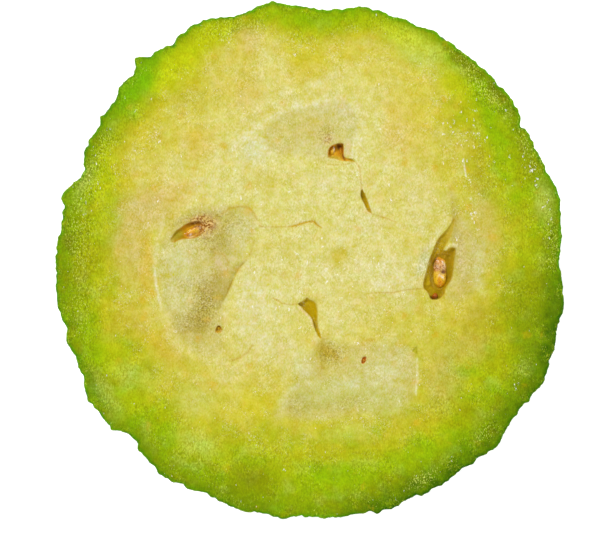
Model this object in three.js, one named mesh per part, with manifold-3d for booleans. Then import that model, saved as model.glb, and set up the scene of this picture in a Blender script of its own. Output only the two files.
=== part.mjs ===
// Half of a feijoa, cut straight across its middle and lying with the cut face up.
// It is the blossom-end half: it rests on the four sepals that stay on the fruit, pressed flat under it.
// Millimetres, +Z up. The origin is on the table, under the middle of the fruit.
import * as THREE from "three";
import { mergeVertices } from "three/addons/utils/BufferGeometryUtils.js";
import Module from "manifold-3d";

const wasm = await Module();
wasm.setup();

// ---------- driving dimensions ----------
const RIM_RADIUS = 22.6; // mean radius of the cut face
const CUT_HEIGHT = 31; // height of the cut face above the table
const END_HEIGHT = 1.5; // height of the fruit's blossom end, which stands on the sepals
const COLLAR_RADIUS = 5.2; // outer radius of the ring that carries the sepals
const FULLNESS = 0.93; // 1 is an ellipse, and less is a fuller, blunter end
const SECTORS = 180; // steps round the fruit
const RINGS = 20; // steps down the skin, from the cut to the collar
const RING_CROWDING = 1.35; // above 1, the steps are closer together near the cut
const BASIN_RADIUS = 3.7; // mouth of the basin inside the collar, where the flower was
const BASIN_FLOOR_RADIUS = 2.6;
const BASIN_FLOOR = 2.7; // height of the basin's floor, which faces down
const SKIN_LENGTH = 37; // from the cut to the collar along the skin
const LUMPS_BEGIN = 0.16; // share of the way down at which the lower skin's own lumps have set in
const GAP = 0.12; // clearance between neighbouring pieces
const SEED_FACETS = 14; // steps round a seed

const SEPALS = 4; // a broad pair, and a smaller pair across it
const SEPAL_INNER = 3.9; // where a sepal starts under the collar
const SEPAL_OUTER = [11.2, 10]; // where the tips of the broad pair and of the small pair end
const SEPAL_HALF_WIDTH = [3.5, 2.8];
const SEPAL_THICKNESS = 0.6;
const SEPAL_TIP_CURL = 0.9; // how far the tip lifts off the table
const SEPAL_FIRST_ANGLE = 38;

const STYLE_FOOT = 0.3; // height of the style's lower end
const STYLE_TOP_RADIUS = 0.6;
const STYLE_WAIST_RADIUS = 0.34;
const STYLE_FOOT_RADIUS = 0.4;

const DEGREE = Math.PI / 180;

// Lumps and dents of the rough skin where the cut crosses it:
// [angle in degrees, height, half-width in degrees].
const RIM_LUMPS = [
  [2, -0.45, 7],
  [16, 0.2, 3],
  [23, -0.4, 6],
  [31, -0.35, 3.5],
  [57, 0.25, 18],
  [76, 0.35, 3],
  [87, -0.5, 5],
  [100, 0.45, 4],
  [115, 0.75, 5],
  [122.5, -0.3, 1.2],
  [127, 0.2, 4],
  [130.5, 0.75, 1.6],
  [138, 0.25, 2],
  [147, -0.5, 5],
  [159, -0.95, 4.5],
  [165.5, 0.25, 1.6],
  [171, -0.4, 4],
  [181, -0.15, 6],
  [196, -0.3, 1.8],
  [202, -0.25, 2],
  [213, 0.65, 3.5],
  [218.5, 0.35, 2],
  [224.5, -0.5, 3],
  [234.5, 0.5, 3],
  [247, -0.1, 4],
  [258, 0.25, 5],
  [268.5, -0.2, 1.8],
  [277, 0.2, 4],
  [288.5, 0.4, 2.5],
  [302, 0.35, 4],
  [315, 0.6, 4],
  [324, -0.05, 3],
  [333, 0.65, 4.5],
  [343, -0.15, 2],
  [349, 0.15, 4],
  [357, -0.25, 4],
];
const LUMP_HEIGHT = 1.5; // how tall a lump is down the skin, in its own widths

// Hollows that the cut opened in the flesh, as outlines [x, y] on the cut face, with how deep they go.
const HOLLOWS = {
  right_locule: {
    depth: 2.6,
    floor: 0.9,
    outline: [
      [12.55, 3.1],
      [12.1, 1.8],
      [11.45, 0.95],
      [11.05, 0.7],
      [10.7, -0.2],
      [10.3, -1.3],
      [9.95, -2.4],
      [10.2, -3.1],
      [10.7, -3.75],
      [11.4, -3.8],
      [12.1, -3.1],
      [12.6, -2.0],
      [12.85, -0.8],
      [12.85, 0.5],
      [12.6, 1.4],
    ],
  },
  top_locule: {
    depth: 2.2,
    floor: 0.85,
    outline: [
      [1.4, 10.2],
      [3.0, 10.4],
      [3.1, 9.4],
      [3.7, 8.9],
      [2.4, 8.8],
      [1.4, 9.2],
    ],
  },
  left_locule: {
    depth: 2.0,
    floor: 0.85,
    outline: [
      [-12.1, 2.0],
      [-11.3, 3.0],
      [-10.3, 3.5],
      [-8.8, 3.5],
      [-8.6, 3.0],
      [-9.4, 2.1],
      [-11.0, 1.6],
      [-11.9, 1.5],
    ],
  },
  middle_split: {
    depth: 2.4,
    floor: 0.55,
    outline: [
      [-1.1, -3.7],
      [-0.3, -3.3],
      [0.5, -3.6],
      [0.7, -5.0],
      [1.0, -6.8],
      [0.5, -5.6],
      [-0.1, -4.5],
    ],
  },
  upper_split: {
    depth: 1.6,
    floor: 0.55,
    outline: [
      [4.5, 6.4],
      [4.9, 5.7],
      [5.5, 4.2],
      [4.9, 4.7],
      [4.4, 5.7],
    ],
  },
  left_pinhole: {
    depth: 2.7,
    floor: 0.95,
    outline: roundOutline(-8.1, -5.9, 0.42, 0.5, 8),
  },
  lower_pinhole: {
    depth: 2.6,
    floor: 0.95,
    outline: roundOutline(4.7, -8.8, 0.36, 0.42, 8),
  },
};

// Seeds that show in the hollows. at is the middle [x, y], half the half-sizes along the seed, across it
// and in height, below how far the top lies under the cut, and turn the long axis from +X in degrees.
const SEEDS = {
  seed_right_lying: { at: [11.44, -1.0], half: [1.42, 0.67, 0.62], below: 0.35, turn: 91 },
  seed_right_upright: { at: [11.0, -3.1], half: [0.38, 0.33, 0.95], below: 0.45, turn: 40 },
  seed_top_left: { at: [1.93, 9.72], half: [0.5, 0.38, 0.6], below: 0.4, turn: 80 },
  seed_top_right: { at: [2.68, 9.7], half: [0.55, 0.28, 0.6], below: 0.55, turn: 100 },
  seed_left_lying: { at: [-10.35, 2.62], half: [1.08, 0.5, 0.5], below: 0.35, turn: 27 },
  seed_left_upright: { at: [-8.1, -5.9], half: [0.33, 0.27, 1.15], below: 0.2, turn: 90 },
  seed_lower_upright: { at: [4.7, -8.8], half: [0.27, 0.2, 1.15], below: 0.1, turn: 65 },
};

// ---------- materials ----------
const fruitLook = new THREE.MeshStandardMaterial({
  color: 0x6f8f32,
  roughness: 0.45,
  metalness: 0,
});
const seedLook = new THREE.MeshStandardMaterial({
  color: 0xb06a1c,
  roughness: 0.35,
  metalness: 0,
});
const sepalLook = new THREE.MeshStandardMaterial({
  color: 0x7a7f55,
  roughness: 0.85,
  metalness: 0,
});
const styleLook = new THREE.MeshStandardMaterial({
  color: 0x5a4228,
  roughness: 0.9,
  metalness: 0,
});

// ---------- helpers ----------
function roundOutline(x, y, halfWidth, halfHeight, count) {
  const outline = [];
  for (let i = 0; i < count; i++) {
    const a = (i / count) * 2 * Math.PI;
    outline.push([x + halfWidth * Math.cos(a), y + halfHeight * Math.sin(a)]);
  }
  return outline;
}

// Joins rings of points, each ring as long as the next, into one closed skin with a middle point at each
// end. The rings run from the top down, and each runs anticlockwise seen from above.
function stackRings(rings, topMiddle, bottomMiddle) {
  const count = rings[0].length;
  const points = [topMiddle, ...rings.flat(), bottomMiddle];
  const faces = [];
  const index = (ring, step) => 1 + ring * count + (step % count);
  for (let step = 0; step < count; step++) {
    faces.push(0, index(0, step), index(0, step + 1));
    for (let ring = 0; ring + 1 < rings.length; ring++) {
      const a = index(ring, step);
      const b = index(ring, step + 1);
      const c = index(ring + 1, step);
      const d = index(ring + 1, step + 1);
      faces.push(a, c, b, b, c, d);
    }
    const last = rings.length - 1;
    faces.push(points.length - 1, index(last, step + 1), index(last, step));
  }
  const geometry = new THREE.BufferGeometry();
  geometry.setAttribute(
    "position",
    new THREE.Float32BufferAttribute(points.flat(), 3),
  );
  geometry.setIndex(faces);
  return geometry;
}

function toSolid(geometry) {
  const bare = geometry.clone();
  bare.deleteAttribute("normal");
  bare.deleteAttribute("uv");
  const merged = mergeVertices(bare, 1e-4);
  return new wasm.Manifold(
    new wasm.Mesh({
      numProp: 3,
      vertProperties: new Float32Array(merged.attributes.position.array),
      triVerts: new Uint32Array(merged.index.array),
    }),
  );
}

function toGeometry(solid) {
  const mesh = solid.getMesh();
  const geometry = new THREE.BufferGeometry();
  geometry.setAttribute(
    "position",
    new THREE.Float32BufferAttribute(mesh.vertProperties, 3),
  );
  geometry.setIndex(new THREE.BufferAttribute(mesh.triVerts, 1));
  geometry.computeVertexNormals();
  return geometry;
}

function named(name, geometry, look) {
  const mesh = new THREE.Mesh(geometry, look);
  mesh.name = name;
  return mesh;
}

// ---------- fruit ----------
// The lumps that the cut crosses. They fade out down the skin, the wide ones further down than the narrow.
function rimLumps(angle, down) {
  let height = 0;
  for (const [at, tall, wide] of RIM_LUMPS) {
    const across = (((angle / DEGREE - at + 540) % 360) - 180) / wide;
    const along = (down * SKIN_LENGTH) / (wide * DEGREE * RIM_RADIUS * LUMP_HEIGHT);
    height += tall * Math.exp(-(across ** 2) - along ** 2);
  }
  return height;
}

// The broad lumps of the skin below the rim. down runs from 0 at the cut to 1 at the collar.
function skinLumps(angle, down) {
  return (
    0.28 * Math.sin(3 * angle + 0.7) * Math.sin(4.1 * down + 0.5) +
    0.24 * Math.sin(7 * angle + 2.1 + 3 * down) * Math.sin(7.3 * down) +
    0.16 * Math.sin(12 * angle - 1.2 - 5 * down) * Math.sin(11 * down + 0.3)
  );
}

function skinPoint(angle, down) {
  const endAngle = Math.acos((COLLAR_RADIUS / RIM_RADIUS) ** (1 / FULLNESS));
  const tilt = down * endAngle;
  const radius = RIM_RADIUS * Math.cos(tilt) ** FULLNESS;
  const depth = (Math.sin(tilt) / Math.sin(endAngle)) ** FULLNESS;
  const nearRim = Math.exp(-((down / LUMPS_BEGIN) ** 2));
  const nearEnd = 1 - down ** 6;
  const lumps = rimLumps(angle, down) + skinLumps(angle, down) * (1 - nearRim);
  const r = radius + lumps * nearEnd;
  const z = CUT_HEIGHT - (CUT_HEIGHT - END_HEIGHT) * depth;
  return [r * Math.cos(angle), r * Math.sin(angle), z];
}

function circle(radius, z) {
  const ring = [];
  for (let step = 0; step < SECTORS; step++) {
    const angle = (step / SECTORS) * 2 * Math.PI;
    ring.push([radius * Math.cos(angle), radius * Math.sin(angle), z]);
  }
  return ring;
}

function fruitBlank() {
  const rings = [];
  for (let ring = 0; ring <= RINGS; ring++) {
    const down = (ring / RINGS) ** RING_CROWDING;
    const points = [];
    for (let step = 0; step < SECTORS; step++) {
      points.push(skinPoint((step / SECTORS) * 2 * Math.PI, down));
    }
    rings.push(points);
  }
  // The collar's flat underside, and the shallow basin inside it where the flower was.
  rings.push(circle(BASIN_RADIUS, END_HEIGHT));
  rings.push(circle(BASIN_FLOOR_RADIUS, BASIN_FLOOR));
  return stackRings(rings, [0, 0, CUT_HEIGHT], [0, 0, BASIN_FLOOR]);
}

// A pocket that narrows towards its floor. It starts above the cut, so that it opens there.
function hollowSolid({ outline, depth, floor }) {
  const middleX = outline.reduce((sum, p) => sum + p[0], 0) / outline.length;
  const middleY = outline.reduce((sum, p) => sum + p[1], 0) / outline.length;
  const above = 1;
  const turned = THREE.ShapeUtils.isClockWise(
    outline.map(([x, y]) => new THREE.Vector2(x, y)),
  )
    ? [...outline].reverse()
    : outline;
  const level = (share, z) =>
    turned.map(([x, y]) => [
      middleX + (x - middleX) * share,
      middleY + (y - middleY) * share,
      z,
    ]);
  const rings = [
    level(1, CUT_HEIGHT + above),
    level(1, CUT_HEIGHT),
    level(floor, CUT_HEIGHT - depth),
  ];
  return toSolid(
    stackRings(
      rings,
      [middleX, middleY, CUT_HEIGHT + above],
      [middleX, middleY, CUT_HEIGHT - depth],
    ),
  );
}

function makeFruit() {
  let fruit = toSolid(fruitBlank());
  for (const hollow of Object.values(HOLLOWS)) {
    fruit = fruit.subtract(hollowSolid(hollow));
  }
  return named("fruit_half", toGeometry(fruit), fruitLook);
}

// ---------- seeds ----------
function makeSeed(name, { at, half, below, turn }) {
  const geometry = new THREE.SphereGeometry(1, SEED_FACETS, SEED_FACETS / 2);
  geometry.rotateZ(Math.PI / 2); // the sphere's poles lie along the seed
  geometry.scale(...half);
  const seed = named(name, geometry, seedLook);
  seed.rotation.z = turn * DEGREE;
  seed.position.set(at[0], at[1], CUT_HEIGHT - below - half[2]);
  return seed;
}

// ---------- sepals ----------
// The width at a share of the way from base to tip, as a share of the widest: broad, with a round end.
function sepalBreadth(along) {
  const base = 0.78 + 0.22 * Math.sin(Math.min(1, along / 0.45) * 0.5 * Math.PI);
  const roundEnd = Math.sqrt(1 - Math.max(0, (along - 0.5) / 0.5) ** 2);
  return base * roundEnd;
}

// One sepal as a curved plate: flat on the table, thick where it bends out of the collar, curled at its tip.
function makeSepal(number) {
  const pair = (number - 1) % 2;
  const lengthSteps = 12;
  const widthSteps = 8;
  const roundTip = 0.985; // the plate stops just short of a point at its tip
  const curlFrom = 0.7;
  const bendTo = 0.3;
  const edgeThinning = 0.35;
  const rings = [];
  for (let i = 0; i <= lengthSteps; i++) {
    const along = (i / lengthSteps) * roundTip;
    const half = SEPAL_HALF_WIDTH[pair] * sepalBreadth(along);
    const x = SEPAL_INNER + (SEPAL_OUTER[pair] - SEPAL_INNER) * along;
    const curl = SEPAL_TIP_CURL * Math.max(0, (along - curlFrom) / (1 - curlFrom)) ** 2;
    const bend = Math.max(0, 1 - along / bendTo) ** 2;
    const lower = [];
    const upper = [];
    for (let j = 0; j <= widthSteps; j++) {
      const across = (2 * j) / widthSteps - 1;
      const edge = edgeThinning * across * across;
      const low = curl * (1 + edge);
      const thick = (SEPAL_THICKNESS + bend * (END_HEIGHT - GAP - SEPAL_THICKNESS)) * (1 - edge);
      lower.push([x, across * half, low]);
      upper.push([x, across * half, low + thick]);
    }
    rings.push([...upper, ...lower.reverse()]);
  }
  const middleOf = (ring) => {
    const box = new THREE.Box3().setFromPoints(
      ring.map((p) => new THREE.Vector3(...p)),
    );
    return box.getCenter(new THREE.Vector3()).toArray();
  };
  const geometry = stackRings(
    rings,
    middleOf(rings[0]),
    middleOf(rings[rings.length - 1]),
  );
  const sepal = named("sepal_" + number, geometry, sepalLook);
  sepal.rotation.z =
    (SEPAL_FIRST_ANGLE + ((number - 1) * 360) / SEPALS) * DEGREE;
  return sepal;
}

// ---------- style ----------
// The dry stub of the flower's style, standing in the basin and pointing down at the table.
function makeStyleStub() {
  const top = BASIN_FLOOR - GAP;
  const profile = [
    new THREE.Vector2(0, STYLE_FOOT),
    new THREE.Vector2(STYLE_FOOT_RADIUS, STYLE_FOOT + STYLE_FOOT_RADIUS / 4),
    new THREE.Vector2(STYLE_WAIST_RADIUS, (STYLE_FOOT + top) / 2),
    new THREE.Vector2(STYLE_TOP_RADIUS, top),
    new THREE.Vector2(0, top),
  ];
  const geometry = new THREE.LatheGeometry(profile, 12);
  geometry.rotateX(Math.PI / 2); // the lathe turns about Y
  return named("style_stub", geometry, styleLook);
}

// ---------- assembly ----------
const pieces = new THREE.Group();
pieces.add(makeFruit());
for (const [name, seed] of Object.entries(SEEDS)) {
  pieces.add(makeSeed(name, seed));
}
for (let number = 1; number <= SEPALS; number++) {
  pieces.add(makeSepal(number));
}
pieces.add(makeStyleStub());

// The lumps make the rim a little lopsided, so the fruit is centred over the origin by its outline.
pieces.updateMatrixWorld(true);
const middle = new THREE.Box3()
  .setFromObject(pieces)
  .getCenter(new THREE.Vector3());
pieces.position.set(-middle.x, -middle.y, 0);

const feijoa = new THREE.Group();
feijoa.name = "feijoa_half";
feijoa.add(pieces);

export default feijoa;
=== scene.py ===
import math

import bpy
import numpy as np
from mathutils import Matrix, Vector, geometry, noise
from mathutils.bvhtree import BVHTree


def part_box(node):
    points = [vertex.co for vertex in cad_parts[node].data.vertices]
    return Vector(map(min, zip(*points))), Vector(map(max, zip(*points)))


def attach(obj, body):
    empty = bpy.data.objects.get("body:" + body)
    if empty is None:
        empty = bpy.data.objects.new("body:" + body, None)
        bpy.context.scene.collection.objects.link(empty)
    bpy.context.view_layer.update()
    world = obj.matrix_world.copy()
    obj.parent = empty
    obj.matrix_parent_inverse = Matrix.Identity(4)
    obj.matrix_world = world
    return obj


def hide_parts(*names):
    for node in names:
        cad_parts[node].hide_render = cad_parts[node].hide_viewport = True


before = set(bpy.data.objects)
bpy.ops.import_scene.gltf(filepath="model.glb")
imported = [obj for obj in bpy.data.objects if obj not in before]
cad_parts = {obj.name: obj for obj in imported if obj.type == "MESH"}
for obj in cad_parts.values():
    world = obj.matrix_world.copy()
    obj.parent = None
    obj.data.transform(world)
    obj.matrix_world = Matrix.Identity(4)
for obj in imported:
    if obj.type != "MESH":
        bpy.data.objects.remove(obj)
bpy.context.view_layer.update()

MM = 0.001
FRUIT = "fruit_half"
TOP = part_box(FRUIT)[1].z / MM
STYLE_LOW, STYLE_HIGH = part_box("style_stub")
AXIS = np.array((STYLE_LOW + STYLE_HIGH) / 2)[:2] / MM

# ---------- the fruit's mesh ----------
SECTORS = 540  # steps round the skin; the rim has twice as many, and the lower skin half as many
SKIN_RINGS = 120  # steps down the skin, to where the end begins
FINE_RINGS = 88  # how many of them have the full number of steps
END_RINGS = 10  # steps across the end
END_FALL = 77  # degrees below the cut, seen from its middle, where the end begins
RIM_INSETS = (0.1, 0.22, 0.4)  # rings of points just inside the rim
RIM_ROUNDING = (0.05, 0.01, 0.0, 0.0)  # how far the rim and those rings lie below the cut
SPACINGS = (0.32, 0.13, 0.07)  # of points on the cut face: open flesh, near an edge, and along an edge
MIDDLE_REACH = 16.5  # every hollow, crack and fine line is nearer the axis than this
NEAR_EDGE = 0.55  # how far from an edge its closer points reach
ALONG_EDGE = 0.2  # and the closest ones
WIDE_LINE = 0.2  # lines with a greater half-width need no points as close as along an edge
RIM_RELIEF = 0.75  # how strong the skin's relief is at the rim
SIDE_RELIEF = 1.3  # and from 3 mm below it
END_CALM = 0.85  # how much of it is gone on the end
NICK_REACH = 8  # how far down the skin a nick of the rim goes on
KNOB_REACH = 1.6  # and a knob, for each degree of its half-width
CRUMBS = [(0.11, 0.45, 6), (0.05, 0.22, 7)]  # what the knife left of the rim, as layers: strength, size, seed
CRUMB_REACH = 0.8  # how far down the crumbs go

# Knobs and nicks of the rim: direction, height, half-width in degrees.
RIM_MARKS = [
    (33, -0.3, 1.2), (62, 0.25, 1.6), (76, -0.2, 1.0), (98, 0.2, 1.2), (121, 0.25, 1.0), (126, 0.15, 1.5),
    (131, 0.4, 0.8), (140, -0.2, 2.0), (145.5, 0.3, 1.0), (158.5, -0.12, 2.6), (165, 0.15, 0.8),
    (167.5, -0.25, 1.6), (188.5, 0.15, 2.0), (198, 0.2, 0.8), (207, -0.2, 1.2), (220.5, 0.3, 1.0),
    (227.5, 0.25, 1.0), (233, -0.25, 0.8), (238, 0.2, 1.2), (242, 0.2, 2.0), (252, 0.18, 2.5),
    (264, 0.2, 2.0), (269, 0.25, 1.5), (285, 0.3, 1.0), (296, 0.25, 2.0), (308.5, 0.3, 1.2),
    (327.5, 0.2, 1.0), (341, 0.25, 1.8),
]

# ---------- colours, as sRGB ----------
LIGHT_LEVEL = 1.28  # how much brighter than plain white the lights make a white surface

# From the rim inwards: how far in, as a share of the green's reach, and the colour of the flesh there.
FLESH = [
    (0.0, (118, 152, 0)), (0.12, (142, 168, 2)), (0.25, (156, 180, 4)), (0.4, (168, 186, 6)),
    (0.55, (177, 189, 12)), (0.8, (189, 190, 24)), (1.0, (200, 194, 48)), (1.25, (208, 200, 70)),
    (1.6, (215, 204, 88)), (2.0, (220, 209, 104)), (2.6, (223, 215, 124)),
]
DEEP_GREEN = (66, 106, 0)
LEAF_GREEN = (116, 182, 4)
FRESH_GREEN = (146, 188, 4)
LIME = (140, 186, 0)
SUNNY = (204, 212, 14)
OLIVE = (166, 160, 2)
DARK_OLIVE = (134, 146, 2)
FROST = (200, 214, 92)
YELLOW = (214, 201, 14)
MUSTARD = (206, 188, 40)
PALE = (228, 222, 168)
TAN = (220, 176, 56)
PINK = (216, 186, 124)
JELLY = (206, 194, 112)
JELLY_SHADE = (176, 154, 64)
JELLY_PALE = (216, 214, 148)
JELLY_GREEN = (196, 206, 118)
FLUSH = (226, 202, 144)
BOWL = (196, 172, 24)
MEMBRANE = (232, 226, 168)
BUTTER = (226, 214, 128)
STRING = (200, 164, 44)
BLUSH = (238, 205, 160)
CRACK = (206, 168, 0)
FOLD_SHADE = (178, 156, 50)
MOSS = (122, 152, 8)
GRASS = (92, 142, 6)
BRONZE = (112, 118, 6)
RUSSET = (122, 112, 20)
PALE_SHEEN = (200, 198, 128)
RUST_BROWN = (150, 84, 10)
GLINT_STREAK_WHITE = (252, 252, 236)
# the white of the painted glints
GLINT_WHITE = (255, 255, 244)
SKIN_LIGHT = (94, 156, 2)
SKIN_DARK = (34, 84, 0)

# How far the green reaches in from the rim, by direction.
GREEN_REACH = [
    (0, 6.0), (20, 7.0), (42, 5.6), (58, 2.6), (78, 2.3), (92, 3.4), (105, 1.7), (122, 3.4), (137, 4.2),
    (150, 3.3), (165, 5.2), (182, 5.8), (197, 5.2), (212, 7.2), (226, 6.4), (240, 6.6), (256, 7.9),
    (285, 7.6), (300, 7.2), (318, 8.8), (332, 9.0), (346, 7.0),
]
# How much the flesh darkens close to the rim, by direction.
RIM_SHADE = [
    (0, 0.15), (60, 0.0), (100, 0.0), (138, 0.25), (165, 0.1), (180, 0.25), (205, 0.1), (240, 0.35),
    (256, 0.4), (270, 0.1), (287, 0.85), (305, 0.85), (320, 0.6), (345, 0.95), (355, 0.5),
]
RIM_SHADE_REACH = 3.6  # how far in it goes

# Mottled veils over the flesh: colour, where it lies, strength, size of its lumps, their seed, how much finer
# lumps add, and the values of this noise where the veil begins and where it is full.
VEILS = [
    (LIME, "green", 0.5, 1.5, 31, 0.4, 0.05, 0.55),
    (OLIVE, "green", 0.45, 1.2, 32, 0.4, 0.1, 0.6),
    (FROST, "inner green", 0.25, 1.4, 33, 0.5, 0.15, 0.6),
    (YELLOW, "middle", 0.4, 1.7, 34, 0.3, 0.0, 0.6),
    (YELLOW, "deep", 0.16, 1.3, 25, 0.4, 0.1, 0.6),
    (PALE, "deep", 0.24, 1.2, 35, 0.4, 0.1, 0.6),
    (TAN, "middle and deep", 0.18, 1.1, 26, 0.0, 0.2, 0.6),
]
# What makes the patches' edges wander: how far, size of the lumps, seed.
PATCH_WANDER = [(0.5, 1.6, 23), (0.25, 0.6, 28)]

# Soft patches of another colour, laid over the flesh in turn: colour, x, y, half-width, half-height, turn in
# degrees, strength.
FLESH_PATCHES = [
    # along the rim, anticlockwise from the right
    (FROST, 20.6, 5.2, 0.8, 1.6, 0, 0.5),
    (OLIVE, 19.2, 8.0, 1.1, 2.0, 10, 0.4),
    (LIME, 15.9, 12.2, 4.4, 0.75, -68, 0.6),
    (LEAF_GREEN, 17.3, 13.8, 0.8, 1.0, -50, 0.3),
    (OLIVE, 14.9, 8.4, 1.0, 2.4, 10, 0.35),
    (FROST, 9.4, 18.5, 2.8, 1.2, -30, 0.75),
    (SUNNY, 8.4, 19.6, 2.4, 0.7, -25, 0.6),
    (SUNNY, 12.4, 15.6, 1.6, 1.2, -40, 0.4),
    (LIME, 1.0, 21.0, 3.4, 0.9, 0, 0.45),
    (YELLOW, 1.5, 18.4, 3.0, 0.9, 0, 0.3),
    (SUNNY, -8.6, 20.1, 2.4, 0.9, 22, 0.75),
    (SUNNY, -11.6, 17.4, 3.0, 1.3, 40, 0.8),
    (FRESH_GREEN, -14.6, 15.4, 1.8, 1.2, 55, 0.4),
    (LEAF_GREEN, -15.3, 15.9, 3.8, 1.3, 52, 0.75),
    (SUNNY, -12.8, 16.0, 1.1, 1.4, 0, 0.6),
    (FROST, -20.0, 6.8, 0.6, 1.4, -30, 0.4),
    (DARK_OLIVE, -10.2, 14.2, 1.8, 1.2, 0, 0.22),
    (SUNNY, -18.1, 7.6, 1.1, 2.6, -12, 0.55),
    (FRESH_GREEN, -17.3, 3.6, 0.9, 1.6, 0, 0.35),
    (OLIVE, -20.2, 0.0, 0.9, 2.2, 0, 0.4),
    (FRESH_GREEN, -19.2, -7.2, 0.8, 2.2, 15, 0.4),
    (SUNNY, -17.8, -8.6, 0.8, 1.6, 20, 0.35),
    (FROST, -16.2, -10.2, 1.4, 1.0, -40, 0.35),
    (SUNNY, -16.6, -12.4, 1.6, 1.2, -40, 0.15),
    (FROST, -10.0, -16.0, 1.9, 1.2, -20, 0.5),
    (DARK_OLIVE, -5.2, -19.2, 2.2, 1.6, 0, 0.8),
    (LIME, 2.6, -18.8, 4.0, 1.3, 5, 0.7),
    (DARK_OLIVE, 6.6, -19.8, 2.0, 1.0, 15, 0.4),
    (LIME, 8.2, -17.4, 2.6, 1.2, 20, 0.4),
    (FRESH_GREEN, 11.6, -17.2, 1.8, 0.9, 35, 0.3),
    (DARK_OLIVE, 14.2, -13.2, 1.8, 1.3, 40, 0.35),
    (DARK_OLIVE, 18.8, -3.6, 1.8, 3.4, 0, 0.6),
    (DEEP_GREEN, 21.2, -3.2, 1.0, 3.6, 0, 0.35),
    (MOSS, 18.9, -7.0, 1.4, 2.2, -8, 0.5),
    (GRASS, -19.4, -10.6, 3.4, 0.5, -63, 0.6),
    (FROST, -17.9, -12.0, 1.9, 0.8, -55, 0.4),
    (BRONZE, 16.75, 14.56, 2.4, 0.35, -49, 0.6),
    (BRONZE, 13.36, 17.73, 2.4, 0.35, -37, 0.6),
    (RUSSET, -21.3, 1.6, 0.5, 1.0, 0, 0.5),
    # further in, the same way round
    (MUSTARD, 18.2, 3.0, 1.2, 1.8, 0, 0.25),
    (PINK, 15.4, 3.0, 1.2, 3.4, 10, 0.35),
    (OLIVE, 15.4, -5.6, 1.8, 1.8, 0, 0.5),
    (OLIVE, 16.8, -8.8, 1.4, 1.6, 0, 0.3),
    (TAN, 13.6, -3.6, 2.2, 3.0, 10, 0.15),
    (TAN, 8.0, 11.6, 1.7, 2.4, -15, 0.4),
    (TAN, 7.0, 13.8, 1.0, 1.0, 0, 0.3),
    (YELLOW, 9.4, 14.2, 1.8, 2.4, 20, 0.25),
    (MUSTARD, -5.8, 16.6, 1.5, 2.6, 0, 0.4),
    (TAN, -5.6, 14.6, 1.3, 1.8, 0, 0.3),
    (PINK, -5.6, 19.4, 1.0, 1.4, 0, 0.4),
    (TAN, -1.2, 16.6, 1.8, 0.9, 10, 0.2),
    (MUSTARD, -15.0, 11.4, 1.4, 2.4, -25, 0.3),
    (TAN, -10.0, 10.4, 1.4, 1.3, 30, 0.4),
    (MUSTARD, -16.6, 8.0, 0.7, 2.6, -10, 0.3),
    (PINK, -14.0, 4.8, 2.4, 1.8, 0, 0.5),
    (TAN, -11.6, 6.2, 1.6, 1.2, 0, 0.35),
    (PINK, -16.0, 1.4, 1.4, 3.2, 0, 0.45),
    (TAN, -14.5, -0.6, 0.7, 3.0, 0, 0.5),
    (MUSTARD, -16.0, -5.0, 1.9, 1.7, -10, 0.5),
    (OLIVE, -16.4, -5.6, 1.4, 1.0, -10, 0.2),
    (OLIVE, -18.6, 0.2, 0.9, 1.4, 0, 0.3),
    (TAN, -13.0, -7.6, 2.2, 0.9, -40, 0.4),
    (FROST, -14.6, -10.4, 1.6, 1.0, -30, 0.3),
    (SUNNY, -10.2, -12.6, 1.8, 1.3, 0, 0.3),
    (PALE, -10.2, -12.4, 1.8, 1.3, 0, 0.2),
    (YELLOW, -5.4, -12.8, 2.6, 1.4, 10, 0.5),
    (LIME, -2.2, -15.6, 1.6, 1.2, 0, 0.2),
    (FROST, 3.2, -15.3, 2.4, 0.9, 5, 0.4),
    (MUSTARD, 9.6, -14.4, 2.6, 1.0, 30, 0.4),
    (PINK, 11.6, -10.2, 1.6, 2.6, -10, 0.3),
    (PINK, 14.2, -7.6, 1.6, 1.2, 0, 0.25),
    (YELLOW, -9.0, 13.2, 3.2, 3.0, 30, 0.3),
    (YELLOW, 0.5, 17.2, 7.5, 2.2, 0, 0.28),
    (YELLOW, 8.6, 13.6, 3.0, 3.6, 30, 0.25),
    # in the middle
    (PALE, 9.6, 5.0, 1.5, 3.0, 10, 0.35),
    # pale flesh with a painted sheen along the right hollow's left edge
    (PALE_SHEEN, 10.0, -0.1, 0.45, 1.5, -12, 0.6),
    (PALE, 7.4, -1.6, 2.4, 2.0, 0, 0.4),
    (PALE, 5.0, 3.4, 2.0, 1.6, 0, 0.3),
    (PALE, -5.2, -4.6, 1.5, 3.6, -8, 0.55),
    (PALE, -3.0, -7.6, 1.6, 1.4, 0, 0.45),
    (PALE, -4.8, 9.8, 1.6, 1.3, 0, 0.5),
    (PALE, 1.6, 7.2, 2.0, 1.0, 0, 0.25),
    (PALE, 1.5, -1.2, 7.5, 3.6, 0, 0.14),
    (PALE, 2.2, 13.2, 1.6, 1.0, 0, 0.6),
    (MUSTARD, 2.4, 0.3, 0.9, 1.1, 30, 0.75),
    (MUSTARD, -4.2, 6.8, 1.7, 1.1, 0, 0.35),
    (MUSTARD, -2.4, 0.6, 2.2, 1.8, 0, 0.2),
    (MUSTARD, 6.6, -5.4, 1.6, 1.0, 0, 0.2),
    (TAN, 5.0, -7.3, 0.6, 0.25, 15, 0.5),
]
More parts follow.
